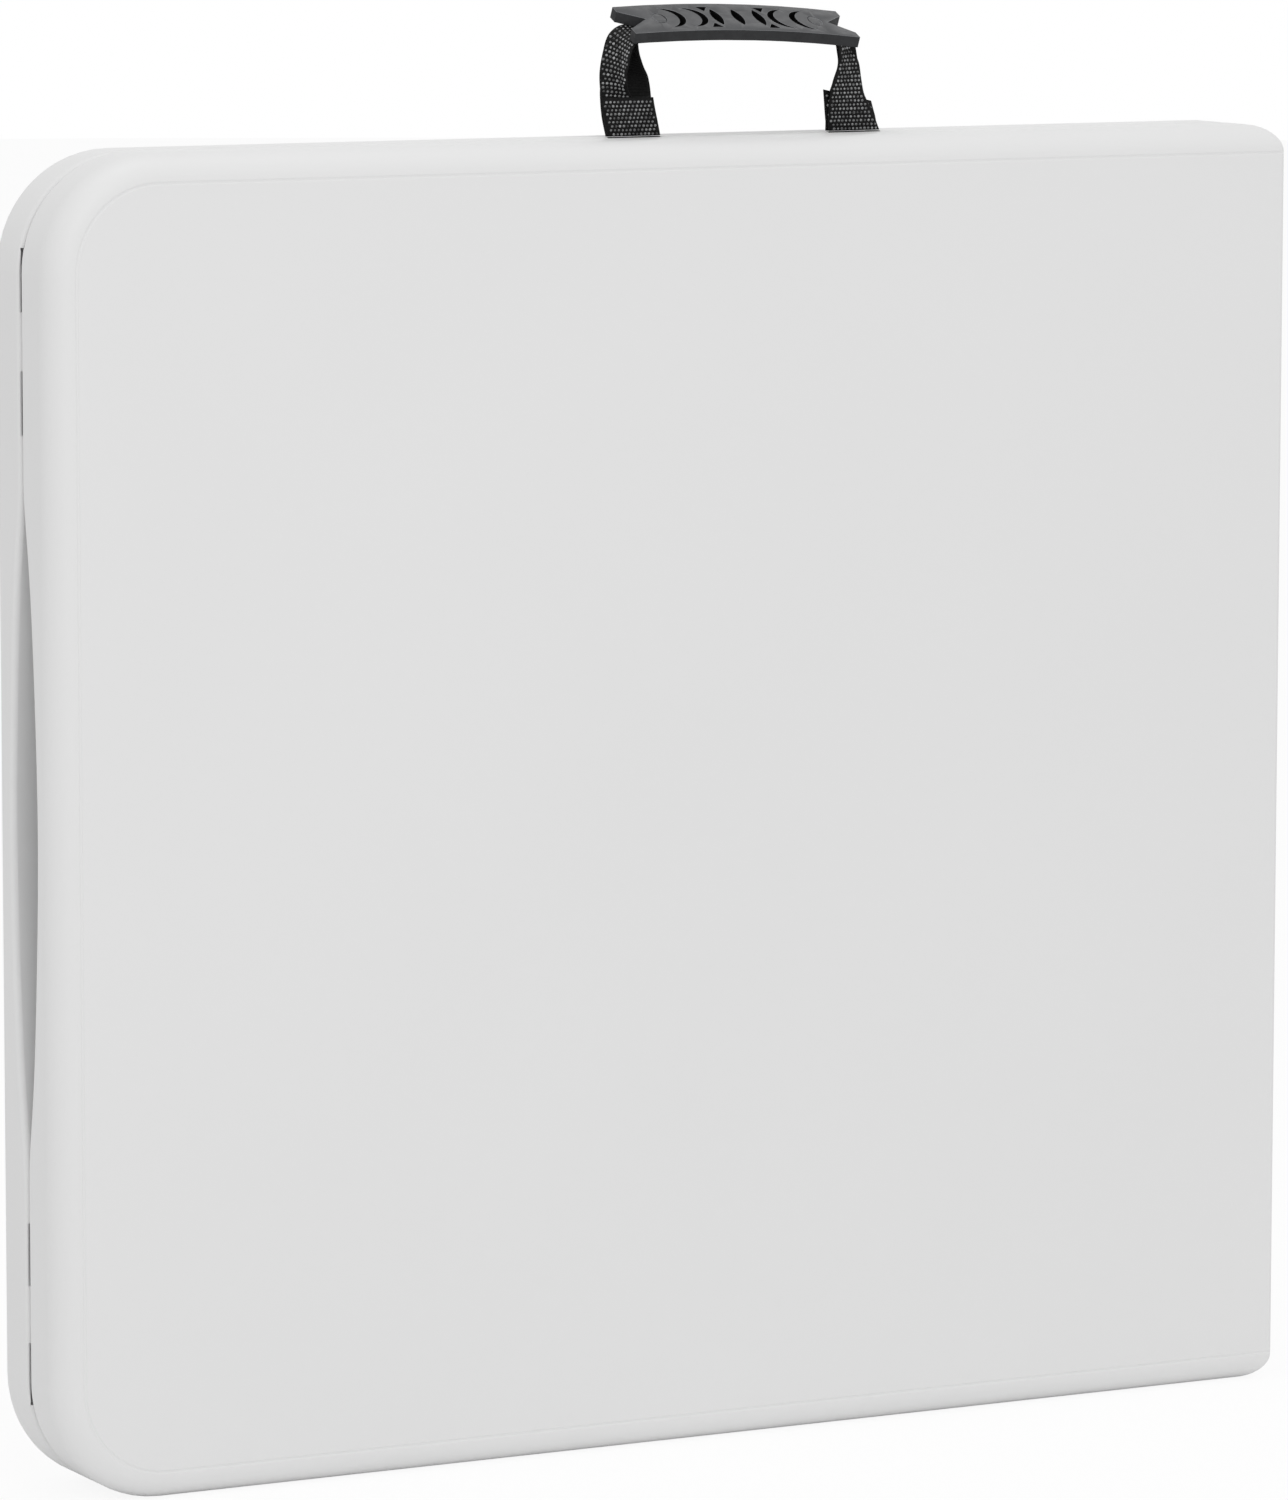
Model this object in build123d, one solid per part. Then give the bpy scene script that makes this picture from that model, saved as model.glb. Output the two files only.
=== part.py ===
from build123d import *
import math
import os

# Fold-in-half table, closed flat and standing on its long edge.
# Row frame: X runs along the closed table from the outer ends (-X) to the hinge line (+X),
# Y runs through its thickness with the halves meeting near Y = 0, and Z is up.
# The origin is at the bottom centre of the whole object. All sizes are in millimetres.

# ---------------------------------------------------------------- table top halves
half_length = 760.0        # one half, outer end to hinge line
table_width = 720.0        # short side of the open table, upright when closed
half_depth = 40.0          # thickness of one half at its rim
seam_gap = 1.1             # each half stops this far short of the meeting plane
outer_corner_radius = 63.0  # round corners of the open table
face_edge_radius = 14.0    # rounding between the table surface and its sides
groove_gap = 1.6           # from that rounding to the middle of the line pressed round the surface
groove_radius = 1.5
groove_depth = 0.4
hinge_corner_radius = 20.0  # round corners at the hinge line
hinge_edge_radius = 3.0    # rounding of the ends that meet at the hinge line
lip_radius = 3.2           # rounding of the rims where the halves meet
side_rim_width = 22.0      # rims along the long sides and at the hinge line
end_lip_width = 14.0       # thin rim at the outer end
floor_thickness = 12.0     # table surface panel behind the recess
recess_corner_radius = 20.0
relief_length = 376.0      # shallow arch in the outer rims, for the fingers
relief_depth = 15.0
land_length = 288.0        # wide flat stretch of rim behind the arch
land_width = 20.0
seam_slot_offsets = (228.0, 293.0)  # shallow slots in the outer rim, from its middle
seam_slot_length = 34.0
seam_slot_depth = 0.8
seam_slot_skin = 2.0        # wall between a slot's hollow and the outer face
seam_slot_hollow = 7.0

# ---------------------------------------------------------------- side rails
rail_width = 16.0
rail_height = 22.0
rail_wall = 1.5
rail_rim_gap = 0.5
rail_end_gap = 2.0         # rail ends clear of the round corners of the recess
rail_screw_count = 5
rail_screw_inset_outer = 90.0
rail_screw_inset_hinge = 20.0

# ---------------------------------------------------------------- leg frames
pivot_end_distance = 50.0  # leg pivot from the outer end
leg_tube_radius = 12.5
leg_tube_wall = 1.2
leg_floor_gap = 0.5
leg_outer_length = 505.0   # upper leg tube, from the pivot
rear_leg_inset = 75.0      # leg tubes from the long edges; the front frame nests inside the rear one
front_leg_inset = 115.0
pivot_tube_radius = 11.0
pivot_tube_wall = 2.0
pivot_side_gap = 0.5
stub_radius = 5.0
stub_plug_length = 20.0
bush_wall = 2.0
bush_flange_wall = 1.0
running_gap = 0.05         # radial clearance of a pin in its hole
sliding_gap = 0.3          # radial clearance between telescoping tubes
cross_bar_distance = 300.0
cross_bar_radius = 6.0
cross_bar_drop = 6.5       # cross bar sits this far to the open side of the leg tubes

# ---------------------------------------------------------------- lower legs
lower_leg_wall = 1.2
lower_leg_top = 235.0      # upper end of the lower leg when pushed in, from the pivot
foot_length = 25.0
foot_socket_depth = 18.0
foot_edge_radius = 3.0
button_distance = 300.0
button_radius = 3.5
button_height = 5.0
button_hole_gap = 0.2
stop_spacing = 75.0
first_stop_offset = 5.0
spring_thickness = 0.8
spring_width = 9.0
spring_length = 42.0

# ---------------------------------------------------------------- folding braces
brace_pivot_distance = 340.0
brace_pin_height = 5.0     # brace pins above the leg centre line, towards the table surface
brace_tube_radius = 4.5
brace_offset = 8.0         # each brace tube lies this far to its own side of the middle
brace_end_radius = 4.8
brace_end_length = 14.0
brace_plate_inner_gap = 0.4
brace_plate_thickness = 3.6
brace_pin_radius = 2.5
brace_head_radius = 4.0
brace_head_height = 1.2
bracket_thickness = 3.0
bracket_base_thickness = 2.0
bracket_base_length = 34.0
bracket_base_width = 22.0

# ---------------------------------------------------------------- leg clips
clip_distance = 430.0
clip_width = 14.0
clip_wall = 3.0
clip_gap = 0.3
clip_lead = 3.0            # prongs reach this far past the middle of the tube
clip_root = 9.0            # inner edge of each prong from the middle of the tube

# ---------------------------------------------------------------- centre hinges
barrel_radius = 5.0
barrel_clearance = 0.6
hinge_pin_radius = 2.5
leaf_thickness = 2.5
leaf_reach = 18.0
leaf_width = 46.0
knuckle_gap = 0.4
hinge_inset = 62.0         # hinge centre from the long edge
leaf_screw_spacing = 26.0

# ---------------------------------------------------------------- screws
screw_shank_radius = 1.8
screw_head_radius = 3.6
screw_head_height = 1.8
screw_length = 9.0
screw_slot_width = 1.0
screw_slot_depth = 0.8
screw_hole_gap = 0.05

# ---------------------------------------------------------------- carry handle
strap_spacing = 137.6      # between the middles of the two straps at the table
handle_shift = 55.5        # middle of the straps, from the middle of the closed half
strap_width = 32.0
strap_thickness = 3.6
strap_slot_gap = 0.5
strap_bend_gap = 0.3       # the strap's bend lies this far above the table's side
strap_tail_inset = 1.0
plate_thickness = 1.8
plate_width = 32.0
plate_height = 14.0
strap_screw_spacing = 20.0
strap_screw_length = 12.0
grip_length = 138.0
grip_width = 33.0
grip_thickness = 6.3
grip_shift = -4.3          # middle of the grip, from the middle of the straps
grip_rise = 58.2           # underside of the grip above the table's side, in the middle
grip_arch_radius = 743.0
grip_roll = 23.8           # degrees, back edge up
grip_slope = 1.8           # degrees, hinge end down
grip_turn = -1.3           # degrees about Z
grip_notch = 13.0
grip_tip_width = 6.0
lens_spacing = 13.0        # three pointed ovals across the middle of the grip
lens_half_width = 2.8
lens_margin = 6.5
crescent_tips = (31.0, 44.5)    # two crescents towards each end, from the middle of the grip
crescent_bulge = 11.8
crescent_thickness = 3.9
crescent_margin = 5.0
wedge_tips = (14.0, 21.0)  # small wedges at both long edges, between the ovals and the crescents
wedge_margin = 3.9
wedge_depth = 5.6
eye_distance = 48.0        # oval line near each end
eye_radii = (4.1, 5.9)
eye_line_width = 0.7
eye_line_depth = 0.5
strap_end_width = 25.0
strap_end_inset = 7.0
strap_end_gap = 0.3
strap_root_length = 4.0    # straight part above the bend
strap_steps = 10
strap_shoulders = (19.5, -13.0)     # how far each strap bows outwards below the grip
strap_turn_powers = (1.1, 1.8)      # how late on its way up each strap makes its quarter turn

# ---------------------------------------------------------------- derived places
x_outer = -(half_length + barrel_radius) / 2
x_hinge = x_outer + half_length
x_end = x_hinge - seam_gap
recess_y = half_depth - floor_thickness
mid_z = table_width / 2
pivot_x = x_outer + pivot_end_distance
leg_y = recess_y - leg_floor_gap - leg_tube_radius
leg_bore_radius = leg_tube_radius - leg_tube_wall
lower_leg_radius = leg_bore_radius - sliding_gap
foot_top = leg_outer_length + sliding_gap
rail_inner = side_rim_width + rail_rim_gap + rail_width
stub_hole_radius = stub_radius + running_gap
bush_radius = stub_hole_radius + bush_wall
hinge_heights = (hinge_inset, table_width - hinge_inset)
leg_spreads = {"rear": mid_z - rear_leg_inset, "front": mid_z - front_leg_inset}
button_reach = math.sqrt(lower_leg_radius ** 2 - button_radius ** 2)
rail_start = x_outer + end_lip_width + recess_corner_radius + rail_end_gap
rail_end = x_hinge - side_rim_width - recess_corner_radius - rail_end_gap

# Brace geometry: straight from pin to pin when the leg stands at right angles to the table
# surface, folded on itself when the leg lies in the recess.
brace_y = leg_y + brace_pin_height
open_run = brace_pivot_distance - brace_pin_height
open_rise = cross_bar_distance + brace_pin_height
open_span = math.hypot(open_run, open_rise)
closed_span = brace_pivot_distance - cross_bar_distance
upper_brace_length = (open_span + closed_span) / 2
brace_pivot_x = pivot_x + brace_pivot_distance
cross_bar_x = pivot_x + cross_bar_distance
knee_x = brace_pivot_x - upper_brace_length

# Handle places
handle_x = x_outer + half_length / 2 + handle_shift
strap_y = seam_gap + plate_thickness + strap_slot_gap + strap_thickness / 2
strap_pivot_z = table_width + strap_bend_gap + strap_thickness / 2
strap_places = (handle_x - strap_spacing / 2, handle_x + strap_spacing / 2)


def block(x_range, y_range, z_range):
    """Box between two corners."""
    size = [high - low for low, high in (x_range, y_range, z_range)]
    centre = [(low + high) / 2 for low, high in (x_range, y_range, z_range)]
    return Pos(*centre) * Box(*size)


def rod(start, end, radius):
    """Round bar from one point to another."""
    axis = Vector(*end) - Vector(*start)
    plane = Plane(origin=Vector(*start), z_dir=axis)
    return extrude(plane * Circle(radius), amount=axis.length)


def on_side(piece, side):
    """Pieces are drawn for the rear half (+Y) and mirrored for the front half."""
    return piece if side == "rear" else mirror(piece, about=Plane.XZ)


def screw_y(x, z, y, length=screw_length):
    """Pan-head screw whose head sits on the plane at y and whose shank points to +Y."""
    shank = rod((x, y, z), (x, y + length, z), screw_shank_radius)
    head = rod((x, y - screw_head_height, z), (x, y, z), screw_head_radius)
    slot_y = (y - screw_head_height, y - screw_head_height + screw_slot_depth)
    half_slot = screw_slot_width / 2
    reach = screw_head_radius * 0.7
    slot = block((x - reach, x + reach), slot_y, (z - half_slot, z + half_slot))
    slot += block((x - half_slot, x + half_slot), slot_y, (z - reach, z + reach))
    return shank + head - slot


def screw_hole_y(x, z, y, length=screw_length):
    return rod((x, y - 1, z), (x, y + length + 0.5, z), screw_shank_radius + screw_hole_gap)


def rail_screw_places():
    start = rail_start + rail_screw_inset_outer
    end = rail_end - rail_screw_inset_hinge
    step = (end - start) / (rail_screw_count - 1)
    middle = side_rim_width + rail_rim_gap + rail_width / 2
    return [(start + i * step, z) for i in range(rail_screw_count) for z in (middle, table_width - middle)]


def leaf_screw_places():
    x = x_hinge - leaf_reach / 2 - barrel_radius / 2
    half = leaf_screw_spacing / 2
    return [(x, z + s) for z in hinge_heights for s in (-half, half)]


def bracket_screw_places():
    reach = bracket_base_length / 2 - screw_head_radius - 1
    return [(brace_pivot_x + s * reach, mid_z + brace_offset / 2) for s in (-1, 1)]


def strap_screw_places():
    half = strap_screw_spacing / 2
    z = table_width - strap_tail_inset - plate_height / 2 - lip_radius
    return [(x + s * half, z) for x in strap_places for s in (-1, 1)]


# ---------------------------------------------------------------- table top
def relief_profile(depth_shift):
    """Smooth arch across the outer rim, drawn in the YZ plane."""
    half = relief_length / 2
    shape = [(-1, 0), (-0.8, 0.3), (-0.42, 0.79), (0, 1), (0.42, 0.79), (0.8, 0.3), (1, 0)]
    points = [(seam_gap + relief_depth * rise, mid_z + half * place) for place, rise in shape]
    curve = Spline(*points, tangents=[(0, 1), (0, 1)])
    back = Polyline(points[-1], (-depth_shift, points[-1][1]), (-depth_shift, points[0][1]), points[0])
    return make_face(curve + back)


def is_lip_edge(edge):
    """Outer edge of the rim where the halves meet, including the arch."""
    box = edge.bounding_box()
    near_seam = edge.center().Y < seam_gap + relief_depth and abs(edge.tangent_at(0.5).Y) < 0.9
    on_outside = box.max.X < x_outer + 0.01 or box.max.Z > table_width - 0.01 or box.min.Z < 0.01
    return near_seam and on_outside and box.min.X < x_end - 0.1


def hinge_corner(z, inward):
    """Cutter that rounds the corner at the hinge line on the long edge at height z."""
    centre = z + inward * hinge_corner_radius
    x_range = (x_hinge - hinge_corner_radius, x_hinge + 1)
    corner = block(x_range, (-1, half_depth + 1), (min(z - inward, centre), max(z - inward, centre)))
    x = x_end - hinge_corner_radius
    return corner - rod((x, -2, centre), (x, half_depth + 2, centre), hinge_corner_radius)


def surface_groove():
    """Cutter for the shallow line pressed round the three free sides of the table surface."""
    inset = face_edge_radius + groove_gap
    low, high, left = inset, table_width - inset, x_outer + inset
    corners = [(x_hinge + 1, low), (left, low), (left, high), (x_hinge + 1, high)]
    level = half_depth + groove_radius - groove_depth
    path = Plane.XZ.offset(-level) * FilletPolyline(*corners, radius=outer_corner_radius - inset)
    return sweep(Plane(path @ 0, z_dir=path % 0) * Circle(groove_radius), path=path)


def top_half(side):
    """Blow-moulded half of the table top with its rim, recess and seats."""
    outline = Plane.XZ * Pos((x_outer + x_end) / 2, mid_z) * Rectangle(
        half_length - seam_gap, table_width
    )
    body = extrude(outline, amount=-half_depth)
    body -= block((x_outer - 1, x_hinge), (-1, seam_gap), (-1, table_width + 1))
    corner_edges = body.edges().filter_by(Axis.Y).group_by(Axis.X)[0]
    body = fillet(corner_edges, outer_corner_radius)

    arch = extrude(Plane.YZ.offset(x_outer - 1) * relief_profile(1.0), amount=end_lip_width + land_width + 2)
    body -= arch

    face_edges = [e for e in body.faces().sort_by(Axis.Y)[-1].edges() if e.center().X < x_end - 0.1]
    body = fillet(ShapeList(face_edges), face_edge_radius)
    body = fillet(ShapeList([e for e in body.edges() if is_lip_edge(e)]), lip_radius)
    end_face = body.faces().sort_by(Axis.X)[-1]
    end_edges = [e for e in end_face.edges() if e.center().Y > half_depth / 3]
    body = fillet(ShapeList(end_edges), hinge_edge_radius)
    for z, inward in ((0, 1), (table_width, -1)):
        body -= hinge_corner(z, inward)
    body -= surface_groove()
    for offset in seam_slot_offsets:
        for z in (mid_z - offset, mid_z + offset):
            z_range = (z - seam_slot_length / 2, z + seam_slot_length / 2)
            inner_x = x_outer + end_lip_width + 1
            body -= block((x_outer - 1, inner_x), (-1, seam_gap + seam_slot_depth), z_range)
            body -= block((x_outer + seam_slot_skin, inner_x), (-1, seam_gap + seam_slot_hollow), z_range)

    recess_plan = Plane.XZ.offset(-recess_y) * Pos(
        (x_outer + end_lip_width + x_hinge - side_rim_width) / 2, mid_z
    ) * RectangleRounded(
        half_length - end_lip_width - side_rim_width,
        table_width - 2 * side_rim_width,
        recess_corner_radius,
    )
    recess = extrude(recess_plan, amount=recess_y + 1)
    land_x = (x_outer + end_lip_width - 1, x_outer + end_lip_width + land_width)
    recess -= block(land_x, (-2, recess_y + 1), (mid_z - land_length / 2, mid_z + land_length / 2))
    body -= recess

    # Pockets for the centre hinges.
    for z in hinge_heights:
        z_range = (z - leaf_width / 2 - 0.3, z + leaf_width / 2 + 0.3)
        body -= rod((x_hinge, 0, z_range[0]), (x_hinge, 0, z_range[1]), barrel_radius + barrel_clearance)
        body -= block((x_hinge - leaf_reach - 0.3, x_hinge + 1), (-1, barrel_radius), z_range)
    for x, z in leaf_screw_places():
        body -= screw_hole_y(x, z, barrel_radius)

    # Screw holes for the rails and the brace bracket.
    for x, z in rail_screw_places():
        body -= screw_hole_y(x, z, recess_y - rail_wall)
    for x, z in bracket_screw_places():
        body -= screw_hole_y(x, z, recess_y - bracket_base_thickness)

    if side == "rear":
        for x in strap_places:
            half = strap_width / 2 + strap_slot_gap
            slot_y = (-1, strap_y + strap_thickness / 2)
            body -= block((x - half, x + half), slot_y, (table_width - side_rim_width - 1, table_width + 1))
        for x, z in strap_screw_places():
            body -= screw_hole_y(x, z, strap_y - strap_thickness / 2, strap_screw_length)
    return on_side(body, side)


# ---------------------------------------------------------------- rails and their screws
def side_rails(side):
    """Two folded steel channels along the long sides, open to the meeting plane."""
    rails = []
    x_range = (rail_start, rail_end)
    y_range = (recess_y - rail_height, recess_y)
    for upper in (False, True):
        low = side_rim_width + rail_rim_gap
        z_range = (low, low + rail_width)
        if upper:
            z_range = (table_width - low - rail_width, table_width - low)
        rail = block(x_range, y_range, z_range)
        inside_y = (y_range[0] - 1, y_range[1] - rail_wall)
        inside_z = (z_range[0] + rail_wall, z_range[1] - rail_wall)
        rail -= block((x_range[0] - 1, x_range[1] + 1), inside_y, inside_z)
        rail -= rod((pivot_x, leg_y, z_range[0] - 1), (pivot_x, leg_y, z_range[1] + 1), bush_radius)
        for x, z in rail_screw_places():
            rail -= screw_hole_y(x, z, recess_y - rail_wall)
        rails.append(on_side(rail, side))
    return rails


def rail_screws(side):
    return [on_side(screw_y(x, z, recess_y - rail_wall), side) for x, z in rail_screw_places()]


def pivot_bushes(side):
    """Nylon bushes that carry the leg frame's journals in the rails."""
    bushes = []
    for upper in (False, True):
        low = side_rim_width + rail_rim_gap
        ends = (low, low + rail_width)
        flange = (ends[0] + rail_wall, ends[0] + rail_wall + bush_flange_wall)
        if upper:
            ends = (table_width - ends[1], table_width - ends[0])
            flange = (ends[1] - rail_wall - bush_flange_wall, ends[1] - rail_wall)
        bush = rod((pivot_x, leg_y, ends[0]), (pivot_x, leg_y, ends[1]), bush_radius)
        bush += rod((pivot_x, leg_y, flange[0]), (pivot_x, leg_y, flange[1]), bush_radius + 1.5)
        bush -= rod((pivot_x, leg_y, ends[0] - 1), (pivot_x, leg_y, ends[1] + 1), stub_hole_radius)
        bushes.append(on_side(bush, side))
    return bushes


# ---------------------------------------------------------------- leg frame
def stop_distances():
    return [button_distance + first_stop_offset + i * stop_spacing for i in range(3)]


def leg_frame(side):
    """Welded frame: pivot tube, two upper leg tubes, cross bar and brace lug."""
    spread = leg_spreads[side]
    pivot_low = rail_inner + pivot_side_gap
    pivot_high = table_width - pivot_low
    frame = rod((pivot_x, leg_y, pivot_low), (pivot_x, leg_y, pivot_high), pivot_tube_radius)
    bar_y = leg_y - cross_bar_drop
    frame += rod(
        (cross_bar_x, bar_y, mid_z - spread), (cross_bar_x, bar_y, mid_z + spread), cross_bar_radius
    )
    for s in (-1, 1):
        z = mid_z + s * spread
        frame += rod((pivot_x, leg_y, z), (pivot_x + leg_outer_length, leg_y, z), leg_tube_radius)
    lug_z = brace_plate_inner_gap * 2 + brace_plate_thickness + mid_z
    lug = block(
        (cross_bar_x - brace_end_radius, cross_bar_x + brace_end_radius),
        (bar_y, brace_y),
        (lug_z, lug_z + bracket_thickness),
    )
    lug += rod((cross_bar_x, brace_y, lug_z), (cross_bar_x, brace_y, lug_z + bracket_thickness), brace_end_radius)
    frame += lug
    for s in (-1, 1):
        z = mid_z + s * spread
        bore_start = pivot_x + leg_tube_radius + leg_tube_wall
        frame -= rod((bore_start, leg_y, z), (pivot_x + leg_outer_length + 1, leg_y, z), leg_bore_radius)
        for distance in stop_distances():
            x = pivot_x + distance
            frame -= rod((x, leg_y, z), (x, leg_y, z + s * 2 * leg_tube_radius), button_radius + button_hole_gap)
    bore = pivot_tube_radius - pivot_tube_wall
    frame -= rod((pivot_x, leg_y, pivot_low - 1), (pivot_x, leg_y, pivot_high + 1), bore)
    frame -= rod((cross_bar_x, brace_y, lug_z - 1), (cross_bar_x, brace_y, lug_z + 9), brace_pin_radius)
    return on_side(frame, side)


def pivot_journals(side):
    """Turned steel plugs in the ends of the pivot tube."""
    journals = []
    pivot_low = rail_inner + pivot_side_gap
    bore = pivot_tube_radius - pivot_tube_wall
    for upper in (False, True):
        plug = (pivot_low, pivot_low + stub_plug_length)
        journal = (side_rim_width + 2 * rail_rim_gap, pivot_low)
        if upper:
            plug = (table_width - plug[1], table_width - plug[0])
            journal = (table_width - journal[1], table_width - journal[0])
        pin = rod((pivot_x, leg_y, plug[0]), (pivot_x, leg_y, plug[1]), bore)
        pin += rod((pivot_x, leg_y, journal[0]), (pivot_x, leg_y, journal[1]), stub_radius)
        journals.append(on_side(pin, side))
    return journals


def leg_brace_pin(side):
    """Rivet that joins the lower brace to the lug on the cross bar."""
    low = mid_z + brace_plate_inner_gap - brace_head_height
    high = mid_z + brace_plate_inner_gap * 2 + brace_plate_thickness + bracket_thickness
    pin = rod((cross_bar_x, brace_y, low), (cross_bar_x, brace_y, high + brace_head_height), brace_pin_radius)
    pin += rod((cross_bar_x, brace_y, high), (cross_bar_x, brace_y, high + brace_head_height), brace_head_radius)
    return on_side(pin, side)


# ---------------------------------------------------------------- lower legs
def lower_leg_tube(side, s):
    z = mid_z + s * leg_spreads[side]
    end = pivot_x + foot_top + foot_socket_depth
    tube = rod((pivot_x + lower_leg_top, leg_y, z), (end, leg_y, z), lower_leg_radius)
    tube -= rod((pivot_x + lower_leg_top - 1, leg_y, z), (end + 1, leg_y, z), lower_leg_radius - lower_leg_wall)
    x = pivot_x + button_distance
    tube -= rod((x, leg_y, z), (x, leg_y, z + s * 2 * lower_leg_radius), button_radius + button_hole_gap)
    return on_side(tube, side)


def leg_foot(side, s):
    """Moulded foot cap with a socket for the lower leg tube."""
    z = mid_z + s * leg_spreads[side]
    start = pivot_x + foot_top
    foot = rod((start, leg_y, z), (start + foot_length, leg_y, z), leg_tube_radius)
    foot = fillet(foot.edges().sort_by(Axis.X)[-1], foot_edge_radius)
    foot -= rod((start - 1, leg_y, z), (start + foot_socket_depth, leg_y, z), lower_leg_radius)
    return on_side(foot, side)


def snap_button(side, s):
    """Push button on a bent spring strip, held in by the upper tube while stored."""
    z = mid_z + s * leg_spreads[side]
    x = pivot_x + button_distance
    bore = lower_leg_radius - lower_leg_wall
    tip = z + s * button_reach
    base = z + s * (button_reach - button_height)
    button = rod((x, leg_y, base), (x, leg_y, tip), button_radius)
    half = spring_width / 2
    reach = math.sqrt((bore - 0.4) ** 2 - half ** 2)
    near = sorted((z + s * (reach - spring_thickness - 1.5), z + s * (reach - 1.5)))
    far = sorted((z - s * (reach - spring_thickness), z - s * reach))
    x_range = (x - spring_length, x + button_radius * 1.5)
    y_range = (leg_y - half, leg_y + half)
    strip = block(x_range, y_range, near) + block(x_range, y_range, far)
    bend = (x - spring_length - spring_thickness, x - spring_length)
    strip += block(bend, y_range, (min(near[0], far[0]), max(near[1], far[1])))
    return on_side(strip + button, side)


# ---------------------------------------------------------------- braces
def brace_link(start_x, end_x, direction):
    """Tube with a flat plate at each end; direction is the side of the middle it lies on."""
    low_x = min(start_x, end_x)
    high_x = max(start_x, end_x)
    tube_z = mid_z + direction * brace_offset
    link = rod(
        (low_x + brace_end_length, brace_y, tube_z), (high_x - brace_end_length, brace_y, tube_z),
        brace_tube_radius,
    )
    faces = (
        mid_z + direction * brace_plate_inner_gap,
        mid_z + direction * (brace_plate_inner_gap + brace_plate_thickness),
    )
    faces = (min(faces), max(faces))
    y_range = (brace_y - brace_end_radius, brace_y + brace_end_radius)
    for x, inward in ((low_x, 1), (high_x, -1)):
        root = x + inward * (brace_end_length * 2)
        link += block((min(x, root), max(x, root)), y_range, faces)
        link += rod((x, brace_y, faces[0]), (x, brace_y, faces[1]), brace_end_radius)
    return link, faces


def upper_brace(side):
    link, faces = brace_link(brace_pivot_x, knee_x, -1)
    link -= rod(
        (brace_pivot_x, brace_y, faces[0] - 1), (brace_pivot_x, brace_y, faces[1] + 1),
        brace_pin_radius + running_gap,
    )
    link -= rod((knee_x, brace_y, faces[0] - 1), (knee_x, brace_y, faces[1] + 1), brace_pin_radius)
    return on_side(link, side)


def knee_rivet(side):
    """Rivet fixed in the upper brace; its shank ends at the brace's inner face."""
    face = mid_z - brace_plate_inner_gap
    back = face - brace_plate_thickness
    rivet = rod((knee_x, brace_y, back - brace_head_height), (knee_x, brace_y, face), brace_pin_radius)
    rivet += rod((knee_x, brace_y, back - brace_head_height), (knee_x, brace_y, back), brace_head_radius)
    return on_side(rivet, side)


def lower_brace(side):
    link, faces = brace_link(cross_bar_x, knee_x, 1)
    for x in (cross_bar_x, knee_x):
        link -= rod((x, brace_y, faces[0] - 1), (x, brace_y, faces[1] + 1), brace_pin_radius + running_gap)
    return on_side(link, side)


def brace_bracket(side):
    """Folded bracket on the table surface's inner side, with one ear."""
    base_y = (recess_y - bracket_base_thickness, recess_y)
    half = bracket_base_length / 2
    ear_z = (mid_z + brace_plate_inner_gap, mid_z + brace_plate_inner_gap + bracket_thickness)
    bracket = block(
        (brace_pivot_x - half, brace_pivot_x + half),
        base_y,
        (mid_z + brace_offset / 2 - bracket_base_width / 2, mid_z + brace_offset / 2 + bracket_base_width / 2),
    )
    ear = block(
        (brace_pivot_x - brace_end_radius, brace_pivot_x + brace_end_radius), (brace_y, base_y[1]), ear_z
    )
    ear += rod((brace_pivot_x, brace_y, ear_z[0]), (brace_pivot_x, brace_y, ear_z[1]), brace_end_radius)
    bracket += ear
    bracket -= rod((brace_pivot_x, brace_y, ear_z[0] - 1), (brace_pivot_x, brace_y, ear_z[1] + 1), brace_pin_radius)
    for x, z in bracket_screw_places():
        bracket -= screw_hole_y(x, z, base_y[0])
    return on_side(bracket, side)


def bracket_pin(side):
    """Rivet that carries the upper brace in its bracket."""
    ear_high = mid_z + brace_plate_inner_gap + bracket_thickness
    link_low = mid_z - brace_plate_inner_gap - brace_plate_thickness
    pin = rod((brace_pivot_x, brace_y, link_low), (brace_pivot_x, brace_y, ear_high), brace_pin_radius)
    pin += rod(
        (brace_pivot_x, brace_y, ear_high), (brace_pivot_x, brace_y, ear_high + brace_head_height),
        brace_head_radius,
    )
    return on_side(pin, side)


def bracket_screws(side):
    y = recess_y - bracket_base_thickness
    return [on_side(screw_y(x, z, y), side) for x, z in bracket_screw_places()]


# ---------------------------------------------------------------- leg clips
def leg_clips(side):
    """Moulded prongs, one on each side of each upper leg tube, that steady it in the recess."""
    prongs = []
    x = pivot_x + clip_distance
    x_range = (x - clip_width / 2, x + clip_width / 2)
    for z in (mid_z - leg_spreads[side], mid_z + leg_spreads[side]):
        tube_space = rod((x_range[0] - 1, leg_y, z), (x_range[1] + 1, leg_y, z), leg_tube_radius + clip_gap)
        for s in (-1, 1):
            near = z + s * clip_root
            far = z + s * (leg_tube_radius + clip_gap + clip_wall)
            prong = block(x_range, (leg_y - clip_lead, recess_y), (min(near, far), max(near, far)))
            outer_space = block(
                (x_range[0] - 1, x_range[1] + 1), (0, leg_y),
                (z - leg_tube_radius - clip_gap, z + leg_tube_radius + clip_gap),
            )
            prongs.append(on_side(prong - tube_space - outer_space, side))
    return prongs


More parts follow.
